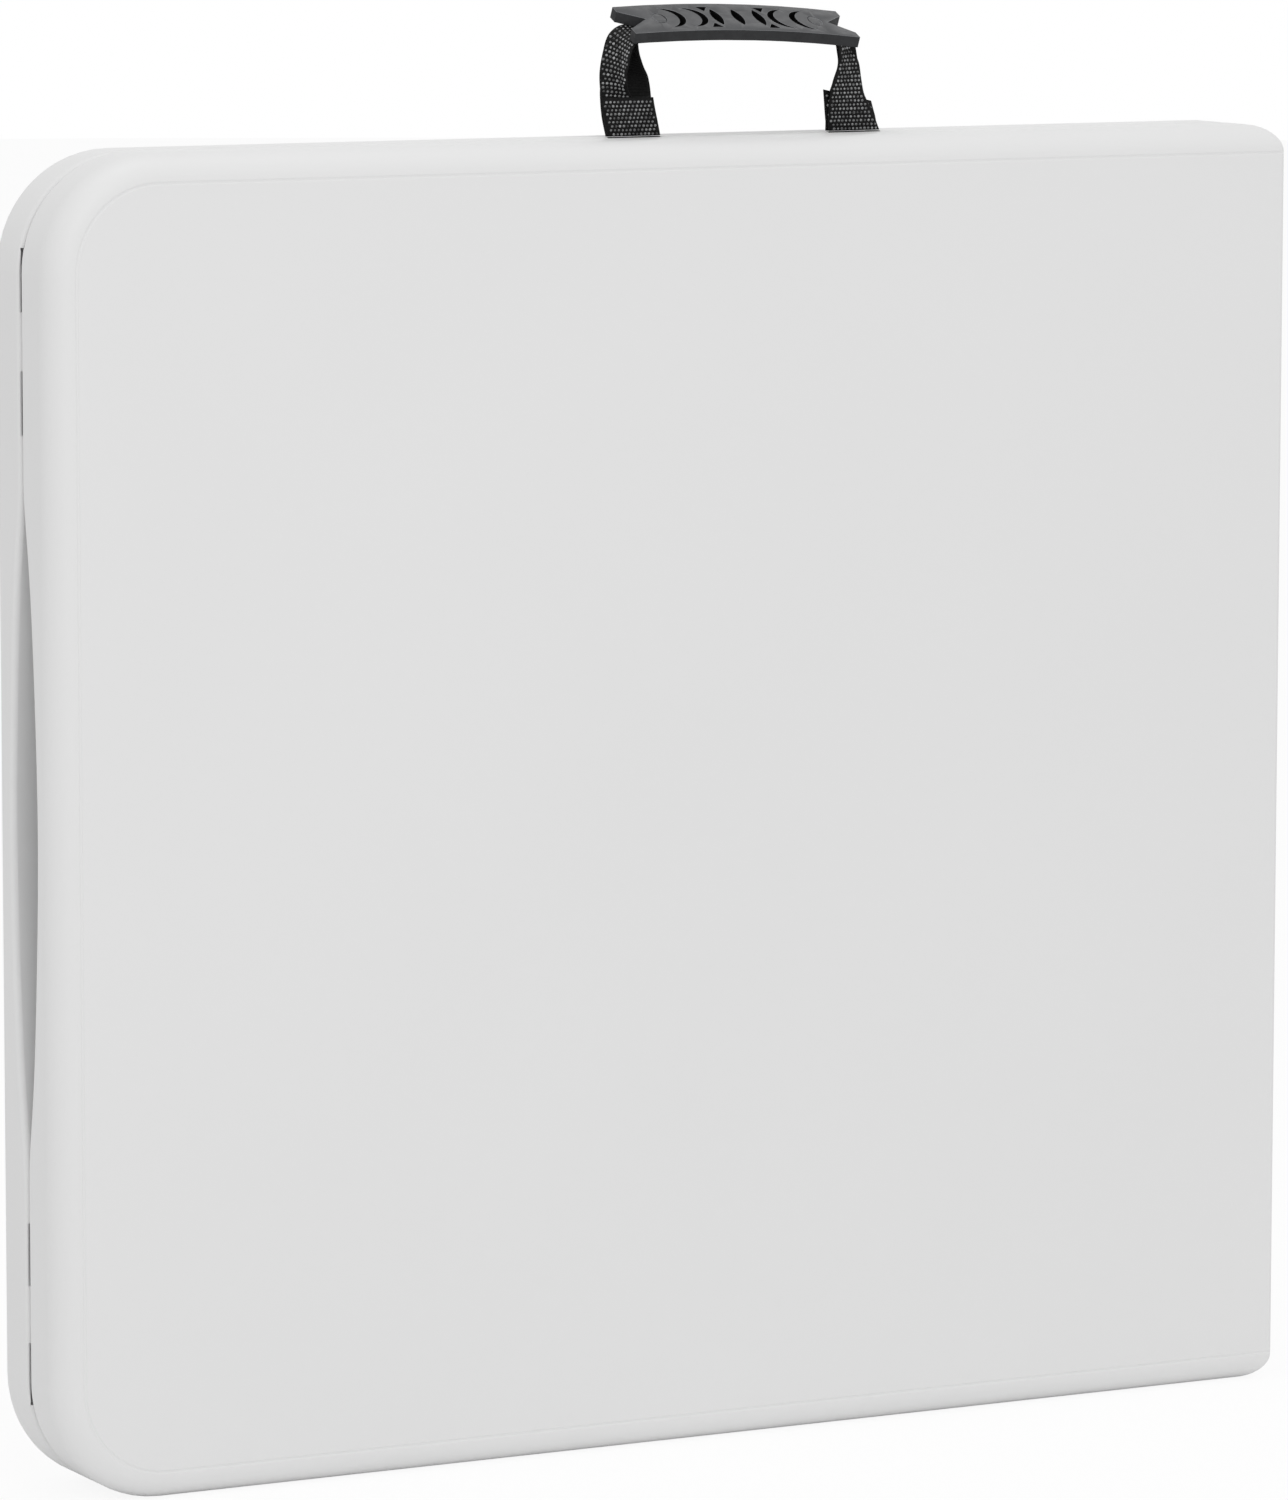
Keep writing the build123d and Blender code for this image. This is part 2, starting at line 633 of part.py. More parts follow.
# ---------------------------------------------------------------- centre hinges
def hinge_leaves(side):
    """Leaf with two outer knuckles on the rear half and one middle knuckle on the front half."""
    leaves = []
    third = leaf_width / 3
    for z in hinge_heights:
        low = z - leaf_width / 2
        spans = [(low, low + third), (low + 2 * third, low + leaf_width)]
        if side == "front":
            spans = [(low + third + knuckle_gap, low + 2 * third - knuckle_gap)]
        plate_y = (barrel_radius - leaf_thickness, barrel_radius)
        cut_back = x_hinge - barrel_radius - barrel_clearance
        leaf = block((x_hinge - leaf_reach, cut_back), plate_y, (low, low + leaf_width))
        for span in spans:
            leaf += block((cut_back - 1, x_hinge), plate_y, span)
            leaf += rod((x_hinge, 0, span[0]), (x_hinge, 0, span[1]), barrel_radius)
        leaf -= rod((x_hinge, 0, low - 1), (x_hinge, 0, low + leaf_width + 1), hinge_pin_radius + running_gap)
        for x, screw_z in leaf_screw_places():
            leaf -= screw_hole_y(x, screw_z, barrel_radius - leaf_thickness)
        leaves.append(on_side(leaf, side))
    return leaves


def hinge_pins():
    pins = []
    for z in hinge_heights:
        half = leaf_width / 2
        pins.append(rod((x_hinge, 0, z - half), (x_hinge, 0, z + half), hinge_pin_radius))
    return pins


def hinge_screws(side):
    y = barrel_radius - leaf_thickness
    return [on_side(screw_y(x, z, y), side) for x, z in leaf_screw_places()]


# ---------------------------------------------------------------- carry handle
def strap_tails():
    """Ends of the webbing, clamped in slots in the rear rim."""
    tails = []
    low = table_width - side_rim_width + strap_tail_inset
    for x in strap_places:
        y_range = (strap_y - strap_thickness / 2, strap_y + strap_thickness / 2)
        tail = block((x - strap_width / 2, x + strap_width / 2), y_range, (low, table_width))
        for screw_x, z in strap_screw_places():
            tail -= screw_hole_y(screw_x, z, y_range[0])
        tails.append(tail)
    return tails


def strap_plates():
    """Steel plates that clamp the webbing to the rim."""
    plates = []
    y_high = strap_y - strap_thickness / 2
    for x in strap_places:
        z_high = table_width - strap_tail_inset - lip_radius
        plate = block(
            (x - plate_width / 2, x + plate_width / 2), (y_high - plate_thickness, y_high),
            (z_high - plate_height, z_high),
        )
        for screw_x, z in strap_screw_places():
            plate -= screw_hole_y(screw_x, z, y_high - plate_thickness)
        plates.append(plate)
    return plates


def strap_screws():
    """Countersunk screws, flush with the clamping plates."""
    screws = []
    y = strap_y - strap_thickness / 2 - plate_thickness
    for x, z in strap_screw_places():
        screws.append(rod((x, y, z), (x, y + strap_screw_length, z), screw_shank_radius))
    return screws


def grip_place():
    """Local frame of the grip: X along it, Z out of its top face."""
    centre = Pos(handle_x + grip_shift, strap_y, table_width + grip_rise + grip_thickness / 2)
    return centre * Rot(0, 0, grip_turn) * Rot(0, grip_slope, 0) * Rot(grip_roll, 0, 0)


def lens(x):
    """Pointed oval opening across the grip."""
    half = grip_width / 2 - lens_margin
    right = ThreePointArc((x, -half), (x + lens_half_width, 0), (x, half))
    left = ThreePointArc((x, half), (x - lens_half_width, 0), (x, -half))
    return make_face(right + left)


def crescent(tips, s):
    """Crescent opening across the grip on side s that bulges towards the middle."""
    x = s * tips
    half = grip_width / 2 - crescent_margin
    crown = x - s * crescent_bulge
    outer = ThreePointArc((x, -half), (crown, 0), (x, half))
    inner = ThreePointArc((x, half), (crown + s * crescent_thickness, 0), (x, -half))
    return make_face(outer + inner)


def wedge(s, edge):
    """Three-cornered opening at one long edge of the grip."""
    base = edge * (grip_width / 2 - wedge_margin)
    point = (s * sum(wedge_tips) / 2, base - edge * wedge_depth)
    outline = Polyline((s * wedge_tips[0], base), (s * wedge_tips[1], base), point, close=True)
    return make_face(outline)


def grip():
    """Moulded grip plate: fishtail ends, gentle arch, openings across its top."""
    half_l = grip_length / 2
    half_w = grip_width / 2
    tip = half_w - grip_tip_width
    outline = Polyline(
        (-half_l, half_w), (half_l, half_w), (half_l, tip), (half_l - grip_notch, 0),
        (half_l, -tip), (half_l, -half_w), (-half_l, -half_w),
        (-half_l, -tip), (grip_notch - half_l, 0), (-half_l, tip),
        close=True,
    )
    face = make_face(outline)
    for i in (-1, 0, 1):
        face -= lens(i * lens_spacing)
    for s in (-1, 1):
        for tips in crescent_tips:
            face -= crescent(tips, s)
        for edge in (-1, 1):
            face -= wedge(s, edge)
    plate = extrude(face, amount=grip_width, both=True)
    arch = Plane.XZ * Pos(0, -grip_arch_radius) * (
        Circle(grip_arch_radius + grip_thickness / 2) - Circle(grip_arch_radius - grip_thickness / 2)
    )
    plate = plate & extrude(arch, amount=grip_width, both=True)
    outer, inner = eye_radii, [r - eye_line_width for r in eye_radii]
    eye_level = grip_thickness / 2 - eye_distance ** 2 / (2 * grip_arch_radius) - eye_line_depth
    for s in (-1, 1):
        ring = Pos(s * eye_distance, 0, eye_level) * (Ellipse(*outer) - Ellipse(*inner))
        plate -= extrude(ring, amount=grip_thickness)
    return grip_place() * plate


def curve_place(points, t):
    """Point and direction at t on the cubic curve with these four control points."""
    a, b, c, d = points
    k = 1 - t
    point = a * k ** 3 + b * (3 * k * k * t) + c * (3 * k * t * t) + d * t ** 3
    direction = (b - a) * (k * k) + (c - b) * (2 * k * t) + (d - c) * (t * t)
    return point, direction


def carry_strap(x, s, shoulder, turn_power):
    """Webbing from the rim up and in under one end of the grip, with a quarter turn on the way."""
    reach = grip_length / 2 - strap_end_inset - grip_notch
    drop = grip_thickness / 2 + reach ** 2 / (2 * grip_arch_radius) + strap_end_gap + strap_thickness / 2
    end = (grip_place() * Pos(s * reach, 0, -drop)).position
    start = Vector(x, strap_y, strap_pivot_z + strap_root_length)
    rise = Vector(x, strap_y, (start.Z + end.Z) / 2)
    points = (start, rise, Vector(x + s * shoulder, end.Y, end.Z), end)
    sections = []
    for i in range(strap_steps + 1):
        t = i / strap_steps
        turn = math.radians(s * 90 * t ** turn_power)
        tilt = math.radians(grip_roll * t)
        across = Vector(math.cos(turn), math.sin(turn) * math.cos(tilt), math.sin(turn) * math.sin(tilt))
        point, direction = curve_place(points, t)
        width = strap_width + (strap_end_width - strap_width) * t
        sections.append(Plane(point, x_dir=across, z_dir=direction) * Rectangle(width, strap_thickness))
    half = strap_width / 2
    root = rod((x - half, strap_y, strap_pivot_z), (x + half, strap_y, strap_pivot_z), strap_thickness / 2)
    y_range = (strap_y - strap_thickness / 2, strap_y + strap_thickness / 2)
    root += block((x - half, x + half), y_range, (strap_pivot_z, start.Z))
    return root + loft(sections, ruled=True)


# ---------------------------------------------------------------- write the pieces
def build():
    nodes = {}
    for side in ("rear", "front"):
        nodes[f"{side}_table_top"] = top_half(side)
        nodes[f"{side}_side_rails"] = side_rails(side)
        nodes[f"{side}_rail_screws"] = rail_screws(side)
        nodes[f"{side}_pivot_bushes"] = pivot_bushes(side)
        nodes[f"{side}_brace_bracket"] = brace_bracket(side)
        nodes[f"{side}_bracket_pin"] = bracket_pin(side)
        nodes[f"{side}_bracket_screws"] = bracket_screws(side)
        nodes[f"{side}_leg_clips"] = leg_clips(side)
        nodes[f"{side}_hinge_leaves"] = hinge_leaves(side)
        nodes[f"{side}_hinge_screws"] = hinge_screws(side)
        nodes[f"{side}_leg_frame"] = leg_frame(side)
        nodes[f"{side}_pivot_journals"] = pivot_journals(side)
        nodes[f"{side}_leg_brace_pin"] = leg_brace_pin(side)
        nodes[f"{side}_upper_brace"] = upper_brace(side)
        nodes[f"{side}_knee_rivet"] = knee_rivet(side)
        nodes[f"{side}_lower_brace"] = lower_brace(side)
        for level, s in (("low", -1), ("high", 1)):
            nodes[f"{side}_{level}_lower_leg"] = lower_leg_tube(side, s)
            nodes[f"{side}_{level}_foot"] = leg_foot(side, s)
            nodes[f"{side}_{level}_snap_button"] = snap_button(side, s)
    nodes["hinge_pins"] = hinge_pins()
    nodes["strap_tails"] = strap_tails()
    nodes["strap_plates"] = strap_plates()
    nodes["strap_screws"] = strap_screws()
    nodes["outer_end_strap"] = carry_strap(strap_places[0], -1, strap_shoulders[0], strap_turn_powers[0])
    nodes["hinge_end_strap"] = carry_strap(strap_places[1], 1, strap_shoulders[1], strap_turn_powers[1])
    nodes["handle_grip"] = grip()
    return nodes


def main():
    os.makedirs("parts", exist_ok=True)
    for name, piece in build().items():
        solids = piece if isinstance(piece, list) else [piece]
        shape = Compound(children=solids) if len(solids) > 1 else solids[0]
        shape.label = name
        export_step(shape, f"parts/{name}.step")


if __name__ == "__main__":
    main()
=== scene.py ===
"""White fold-in-half table: finishes, webbing, grip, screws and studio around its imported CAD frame."""
import math

import bmesh
import bpy
import numpy as np
from mathutils import Euler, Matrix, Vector


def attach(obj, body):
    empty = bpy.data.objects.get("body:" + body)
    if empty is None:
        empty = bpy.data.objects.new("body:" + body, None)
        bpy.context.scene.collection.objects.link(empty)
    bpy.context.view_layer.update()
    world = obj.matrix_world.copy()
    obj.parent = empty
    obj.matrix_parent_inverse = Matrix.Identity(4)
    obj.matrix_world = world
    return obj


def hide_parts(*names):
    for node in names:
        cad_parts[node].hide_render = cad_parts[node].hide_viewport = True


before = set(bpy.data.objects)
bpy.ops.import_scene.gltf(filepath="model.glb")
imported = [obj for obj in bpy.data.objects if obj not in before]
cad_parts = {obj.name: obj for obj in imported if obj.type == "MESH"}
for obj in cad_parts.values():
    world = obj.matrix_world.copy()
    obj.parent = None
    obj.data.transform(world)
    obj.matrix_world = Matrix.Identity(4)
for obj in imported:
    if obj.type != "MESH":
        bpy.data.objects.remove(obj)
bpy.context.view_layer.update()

bl_info = {
    "name": "Folding Table",
    "version": (1, 0, 0),
    "blender": (4, 5, 0),
    "location": "3D View > Sidebar > Table",
    "description": "Dresses a fold-in-half table: moulded tops, coated legs, woven carry straps and grip",
    "category": "Object",
}

MM = 0.001

GRIP_ROLL = 23.8            # degrees that the grip leans, back edge up
MERGE_DISTANCE = 0.01 * MM  # corners of loose triangles closer than this are one


# ---------------------------------------------------------------- sizes and colours
class TableFinish(bpy.types.PropertyGroup):
    top_colour: bpy.props.StringProperty(
        name="Top Colour", description="Blow-moulded table top, as an sRGB hex value", default="#E5E5E5"
    )
    paint_colour: bpy.props.StringProperty(
        name="Leg Colour", description="Powder coat of the legs and rails, as an sRGB hex value",
        default="#6F7275",
    )
    webbing_colour: bpy.props.StringProperty(
        name="Webbing Colour", description="Yarn of the carry straps, as an sRGB hex value", default="#0B0B0B"
    )
    grip_colour: bpy.props.StringProperty(
        name="Grip Colour", description="Moulded carry grip, as an sRGB hex value", default="#454648"
    )
    grain_depth: bpy.props.FloatProperty(
        name="Grain Depth", description="Depth of the fine grain moulded into the table top",
        default=0.00003, min=0.0, max=0.001, unit="LENGTH", precision=5,
    )


class StrapSizes(bpy.types.PropertyGroup):
    ply: bpy.props.FloatProperty(
        name="Ply", description="Thickness of one layer of webbing", default=0.00115, unit="LENGTH", precision=5
    )
    bead_across: bpy.props.FloatProperty(
        name="Bead Spacing Across", description="Spacing of the raised yarns across the webbing",
        default=0.0024, unit="LENGTH", precision=5,
    )
    bead_along: bpy.props.FloatProperty(
        name="Row Spacing", description="Spacing of the rows of raised yarns along the webbing",
        default=0.00225, unit="LENGTH", precision=5,
    )
    bead_length: bpy.props.FloatProperty(
        name="Bead Width", description="Width of one raised yarn", default=0.0017, unit="LENGTH", precision=5
    )
    bead_height: bpy.props.FloatProperty(
        name="Bead Height", description="How far a raised yarn stands above the webbing",
        default=0.0006, unit="LENGTH", precision=5,
    )


class GripSizes(bpy.types.PropertyGroup):
    edge: bpy.props.FloatProperty(
        name="Edge Rounding", description="Rounding of the grip's moulded edges",
        default=0.0009, unit="LENGTH", precision=5,
    )


class ScrewSizes(bpy.types.PropertyGroup):
    recess_width: bpy.props.FloatProperty(
        name="Recess Width", description="Width of one arm of the cross recess in a screw head",
        default=0.001, unit="LENGTH", precision=5,
    )
    recess_span: bpy.props.FloatProperty(
        name="Recess Span", description="Reach of the cross recess across a screw head",
        default=0.0042, unit="LENGTH", precision=5,
    )
    recess_depth: bpy.props.FloatProperty(
        name="Recess Depth", description="Depth of the cross recess in a screw head",
        default=0.0011, unit="LENGTH", precision=5,
    )


class StudioSetup(bpy.types.PropertyGroup):
    key_power: bpy.props.FloatProperty(
        name="Key Light", description="Power of the soft light ahead of the table", default=18.5, unit="POWER"
    )
    top_power: bpy.props.FloatProperty(
        name="Top Light", description="Power of the soft light overhead", default=15.0, unit="POWER"
    )
    surround: bpy.props.FloatProperty(
        name="Surround", description="Strength of the even light from all around",
        default=0.72, min=0.0, max=2.0,
    )


# ---------------------------------------------------------------- helpers
def linear(hex_colour, share=1.0):
    """Linear RGBA of an sRGB hex colour, made darker or paler by share."""
    values = [int(hex_colour[i:i + 2], 16) / 255 for i in (1, 3, 5)]
    values = [v / 12.92 if v <= 0.04045 else ((v + 0.055) / 1.055) ** 2.4 for v in values]
    return [v * share for v in values] + [1.0]


def add(tree, kind, links=None, **settings):
    """Add a node. settings are its own properties, links its inputs: a value or a socket to join."""
    node = tree.nodes.new(kind)
    for name, value in settings.items():
        setattr(node, name, value)
    for name, value in (links or {}).items():
        socket = node.inputs[name]
        if isinstance(value, bpy.types.NodeSocket):
            tree.links.new(value, socket)
        else:
            socket.default_value = value
    return node


def new_material(name, **values):
    """Material with one Principled BSDF; values are its uniform inputs."""
    material = bpy.data.materials.new(name)
    material.use_nodes = True
    tree = material.node_tree
    tree.nodes.clear()
    shader = add(tree, "ShaderNodeBsdfPrincipled", values)
    add(tree, "ShaderNodeOutputMaterial", {"Surface": shader.outputs["BSDF"]}, name="output")
    return tree, shader


def patches(tree, size, detail, low=0.0, high=1.0):
    """A value that wanders from low to high over patches about size mm across, on object coordinates."""
    place = add(tree, "ShaderNodeTexCoord").outputs["Object"]
    noise = add(tree, "ShaderNodeTexNoise", {"Vector": place, "Scale": 1 / (size * MM), "Detail": detail})
    return add(tree, "ShaderNodeMapRange", {
        "Value": noise.outputs["Fac"], "From Min": 0.35, "From Max": 0.65, "To Min": low, "To Max": high,
    }).outputs["Result"]


def finish_surface(tree, shader, dark, light, factor, roughness, grain=None):
    """Give a shader the wandering colour, wandering roughness and fine relief of a real finish.

    factor is the value that takes the colour from dark to light. roughness is the size in mm of its
    patches, their detail, and the lowest and highest value. grain is the size in mm of the relief, its
    detail, its depth in metres and its strength.
    """
    colour = add(tree, "ShaderNodeMix", {"Factor": factor}, data_type="RGBA")
    colour.inputs["A"].default_value, colour.inputs["B"].default_value = dark, light
    tree.links.new(colour.outputs["Result"], shader.inputs["Base Color"])
    if roughness:
        tree.links.new(patches(tree, *roughness), shader.inputs["Roughness"])
    if grain:
        size, detail, depth, strength = grain
        place = add(tree, "ShaderNodeTexCoord").outputs["Object"]
        noise = add(tree, "ShaderNodeTexNoise", {"Vector": place, "Scale": 1 / (size * MM), "Detail": detail})
        relief = add(tree, "ShaderNodeBump", {
            "Height": noise.outputs["Fac"], "Distance": depth, "Strength": strength,
        })
        tree.links.new(relief.outputs["Normal"], shader.inputs["Normal"])


# ---------------------------------------------------------------- materials
def polyethylene(finish):
    """Blow-moulded high-density polyethylene: satin, faintly waxy, an even fine grain from the mould."""
    tree, shader = new_material("moulded_polyethylene", **{"IOR": 1.51})
    # The mould's grain is about 0.4 mm across, drawn at 0.8 mm so that it holds up in close views.
    finish_surface(
        tree, shader, linear(finish.top_colour, 0.99), linear(finish.top_colour), patches(tree, 260.0, 2.0),
        (60.0, 3.0, 0.44, 0.52), (0.8, 2.0, finish.grain_depth, 0.4),
    )


def powder_coat(finish):
    """Powder-coated steel: semi-gloss paint with the soft orange peel of a baked coat."""
    tree, shader = new_material("powder_coated_steel", **{
        "IOR": 1.5, "Coat Weight": 0.15, "Coat Roughness": 0.2,
    })
    # Orange peel of a powder coat repeats at 1 to 2 mm.
    finish_surface(
        tree, shader, linear(finish.paint_colour, 0.9), linear(finish.paint_colour), patches(tree, 30.0, 3.0),
        (12.0, 3.0, 0.36, 0.46), (1.6, 1.0, 0.06 * MM, 0.5),
    )


def zinc_plate():
    """Bright zinc-plated steel: a cool, slightly cloudy metal with a faint grain."""
    tree, shader = new_material("zinc_plated_steel", **{"Metallic": 1.0})
    finish_surface(
        tree, shader, linear("#B4B7BA"), linear("#CFD2D3"), patches(tree, 5.0, 4.0),
        (2.5, 3.0, 0.24, 0.38), (0.5, 2.0, 0.01 * MM, 0.4),
    )


def spring_steel():
    """Plain hardened spring steel: darker than zinc, lightly oiled, with a fine polished grain."""
    tree, shader = new_material("oiled_spring_steel", **{"Metallic": 1.0})
    finish_surface(
        tree, shader, linear("#8F9091"), linear("#A9AAAB"), patches(tree, 3.0, 3.0),
        (1.2, 2.0, 0.28, 0.4), (0.4, 1.0, 0.01 * MM, 0.4),
    )


def nylon():
    """Injection-moulded nylon: matt black with a spark-eroded mould texture."""
    tree, shader = new_material("moulded_nylon", **{"IOR": 1.53})
    finish_surface(
        tree, shader, linear("#1B1B1C"), linear("#262627"), patches(tree, 8.0, 3.0),
        (3.0, 2.0, 0.5, 0.62), (0.6, 2.0, 0.04 * MM, 0.6),
    )


def rubber():
    """Moulded PVC foot cap: soft, nearly matt, with a light scuffed bloom."""
    tree, shader = new_material("moulded_foot_rubber", **{"IOR": 1.52, "Specular IOR Level": 0.35})
    finish_surface(
        tree, shader, linear("#1D1D1D"), linear("#303030"), patches(tree, 6.0, 4.0),
        (4.0, 3.0, 0.66, 0.8), (0.8, 2.0, 0.05 * MM, 0.6),
    )


def grip_plastic(finish):
    """Injection-moulded polypropylene grip: charcoal and satin; the light on its rounded edges is painted into
    the edge finish's colour.
    """
    tree, shader = new_material("moulded_polypropylene", **{"IOR": 1.49, "Specular IOR Level": 0.45})
    finish_surface(
        tree, shader, linear(finish.grip_colour, 0.86), linear(finish.grip_colour), patches(tree, 14.0, 3.0),
        (5.0, 3.0, 0.4, 0.52), (0.5, 2.0, 0.03 * MM, 0.5),
    )


def grip_wall_painted_shade(finish):
    """The grip's side walls: spark-eroded in the mould, so matt; their colour is darkened as painted shade,
    since they face downwards, away from the light.
    """
    tree, shader = new_material("polypropylene_wall_painted_shade", **{"IOR": 1.49, "Specular IOR Level": 0.25})
    # Painted shade: the walls take a darker share of the grip's colour than its top.
    finish_surface(
        tree, shader, linear(finish.grip_colour, 0.4), linear(finish.grip_colour, 0.5), patches(tree, 6.0, 3.0),
        (2.0, 3.0, 0.6, 0.75), (0.5, 2.0, 0.05 * MM, 0.6),
    )


def grip_rim_painted_highlight(finish):
    """The rounded edges of the grip's top: glossier than the top, with a much paler colour that is a painted
    highlight along the edges.
    """
    tree, shader = new_material("polypropylene_edge_painted_highlight", **{"IOR": 1.49, "Specular IOR Level": 0.7})
    # Painted highlight: the edges take a paler share of the grip's colour than its top.
    finish_surface(
        tree, shader, linear(finish.grip_colour, 2.88), linear(finish.grip_colour, 3.6),
        patches(tree, 8.0, 3.0), (3.0, 3.0, 0.28, 0.4),
    )


def grip_opening_painted_shade():
    """The walls inside the grip's openings: deep and matt; their near-black colour is painted shade, the shade
    that falls deep inside the openings over the webbing behind them.
    """
    tree, shader = new_material("polypropylene_opening_painted_shade", **{"IOR": 1.49, "Specular IOR Level": 0.1})
    # Painted shade: near-black colour inside the openings.
    finish_surface(
        tree, shader, linear("#070707"), linear("#101011"), patches(tree, 4.0, 3.0), (2.0, 3.0, 0.7, 0.85),
    )


ONE_BAND = 2 * math.pi / 20  # scale at which wave bands repeat once in a unit of length
WEFT_RIB = 1.7               # mm from one rib to the next along the webbing
WARP_YARN = 0.8              # mm from one yarn to the next across it
WEBBING_ROUGHNESS = (1.5, 2.0, 0.55, 0.75)


def webbing_ground(finish):
    """Polypropylene webbing between its raised yarns: matt black ribs that run across the strap."""
    tree, shader = new_material("woven_webbing", **{"IOR": 1.49, "Specular IOR Level": 0.2})
    place = add(tree, "ShaderNodeUVMap", uv_map="weave").outputs["UV"]
    ribs = add(tree, "ShaderNodeTexWave", {
        "Vector": place, "Scale": ONE_BAND / WEFT_RIB, "Distortion": 0.6, "Detail": 1.0,
    }, wave_type="BANDS", bands_direction="Y")
    warp = add(tree, "ShaderNodeTexWave", {
        "Vector": place, "Scale": ONE_BAND / WARP_YARN, "Distortion": 0.4,
    }, wave_type="BANDS", bands_direction="X")
    height = add(tree, "ShaderNodeMath", {0: ribs.outputs["Fac"], 1: warp.outputs["Fac"]}, operation="MULTIPLY")
    relief = add(tree, "ShaderNodeBump", {"Height": height.outputs[0], "Distance": 0.3 * MM, "Strength": 0.8})
    tree.links.new(relief.outputs["Normal"], shader.inputs["Normal"])
    finish_surface(
        tree, shader, linear(finish.webbing_colour, 0.45), linear(finish.webbing_colour), ribs.outputs["Fac"],
        WEBBING_ROUGHNESS,
    )


def webbing_tail(finish):
    """The same webbing where it is screwed down, with its weave laid on object coordinates."""
    tree, shader = new_material("woven_webbing_tail", **{"IOR": 1.49, "Specular IOR Level": 0.3})
    place = add(tree, "ShaderNodeTexCoord").outputs["Object"]
    ribs = add(tree, "ShaderNodeTexWave", {
        "Vector": place, "Scale": ONE_BAND / (WEFT_RIB * MM), "Distortion": 0.6,
    }, wave_type="BANDS", bands_direction="Z")
    relief = add(tree, "ShaderNodeBump", {"Height": ribs.outputs["Fac"], "Distance": 0.3 * MM, "Strength": 0.7})
    tree.links.new(relief.outputs["Normal"], shader.inputs["Normal"])
    finish_surface(
        tree, shader, linear(finish.webbing_colour, 0.45), linear(finish.webbing_colour), ribs.outputs["Fac"],
        WEBBING_ROUGHNESS,
    )


def webbing_yarn_painted_highlight():
    """Raised polypropylene yarn: round and glossier than the ground, so each one catches a small light; its
    colour, far paler than the black webbing, is also a painted highlight.
    """
    tree, shader = new_material("polypropylene_yarn_painted_highlight", **{
        "IOR": 1.49, "Specular IOR Level": 0.7, "Sheen Weight": 0.1,
    })
    # Painted highlight: the yarns' pale greys stand in for the light they catch; the black webbing's own colour
    # is far darker.
    finish_surface(
        tree, shader, linear("#262627"), linear("#9A9B9C"), patches(tree, 3.0, 2.0),
        (0.7, 2.0, 0.25, 0.42), (0.35, 1.0, 0.04 * MM, 0.5),
    )


SLOT_MATERIALS = {
    "white_plastic": "moulded_polyethylene",
    "grey_paint": "powder_coated_steel",
    "zinc_steel": "zinc_plated_steel",
    "spring_steel": "oiled_spring_steel",
    "black_nylon": "moulded_nylon",
    "foot_rubber": "moulded_foot_rubber",
    "black_webbing": "woven_webbing_tail",
    "grip_plastic": "moulded_polypropylene",
}


class TABLE_OT_finish_frame(bpy.types.Operator):
    """Give every carried-over CAD piece the finish of its real material"""

    bl_idname = "table.finish_frame"
    bl_label = "Finish Frame"

    def execute(self, context):
        finish = context.scene.table_finish
        for make in (
            polyethylene, powder_coat, grip_plastic, grip_wall_painted_shade, grip_rim_painted_highlight, webbing_tail, webbing_ground,
        ):
            make(finish)
        for make in (zinc_plate, spring_steel, nylon, rubber, grip_opening_painted_shade, webbing_yarn_painted_highlight):
            make()
        for name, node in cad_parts.items():
            for place in node.material_slots:
                slot = place.material.name.split(".")[0]
                if slot not in SLOT_MATERIALS:
                    raise RuntimeError(f"{name} has no finish for its slot {slot}")
                place.material = bpy.data.materials[SLOT_MATERIALS[slot]]
        return {"FINISHED"}


# ---------------------------------------------------------------- carry straps
BAND_STEPS = 56        # rings along a band
ACROSS_STEPS = 16      # faces across it
PLY_MIDDLE = 0.5       # its faces lie this share of a ply from its middle
PLY_EDGE = 0.22        # and this share at its rounded edges
LEAST_CUP = 0.5        # degrees; a flat band is given this little cup
YARN_SEAT = 0.46       # the yarns sit this share of a ply from its middle, just in its face
YARN_MARGIN = 1.1 * MM  # bare edge all round
YARN_STAGGER = 0.25    # every other row is moved this share of the spacing to each side
BEND_REACH = 2.5       # mm; the strap's bend lies this near its lowest point
BEND_MIDDLE = 1.8      # mm; and its middle this far above it


def steps_along(centre):
    """Distance of each ring of a band from its start."""
    return np.concatenate([[0], np.cumsum(np.linalg.norm(np.diff(centre, axis=0), axis=1))])


def smooth_rows(rows, count):
    """Rows of numbers resampled along a Catmull-Rom curve through them."""
    rows = np.array(rows, float)
    ends = np.vstack([2 * rows[0] - rows[1], rows, 2 * rows[-1] - rows[-2]])
    out = []
    for u in np.linspace(0, len(rows) - 1, count):
        i = min(int(u), len(rows) - 2)
        t = u - i
        a, b, c, d = ends[i:i + 4]
        bend, twist = 2 * a - 5 * b + 4 * c - d, 3 * b - a - 3 * c + d
        out.append(0.5 * (2 * b + (c - a) * t + bend * t * t + twist * t ** 3))
    return np.array(out)


def band_frames(rows):
    """Frames along a band: centre, across, outward, along, width and cup, in metres and radians.

    Each row is x, y, z, turn, width, lean and cup, in mm and degrees.
    """
    rows = smooth_rows(rows, BAND_STEPS)
    centre = rows[:, :3] * MM
    along = np.gradient(centre, axis=0)
    along /= np.linalg.norm(along, axis=1)[:, None]
    turn, lean = np.radians(rows[:, 3]), np.radians(rows[:, 5])
    tilt = np.radians(GRIP_ROLL) * np.clip(np.abs(rows[:, 3]) / 90, 0, 1)
    rise = np.sin(turn) * np.sin(tilt) - np.sin(lean)
    across = np.stack([np.cos(turn), np.sin(turn) * np.cos(tilt), rise], 1)
    across /= np.linalg.norm(across, axis=1)[:, None]
    outward = np.cross(across, along)
    outward /= np.linalg.norm(outward, axis=1)[:, None]
    return centre, across, outward, along, rows[:, 4] * MM, np.radians(np.maximum(rows[:, 6], LEAST_CUP))


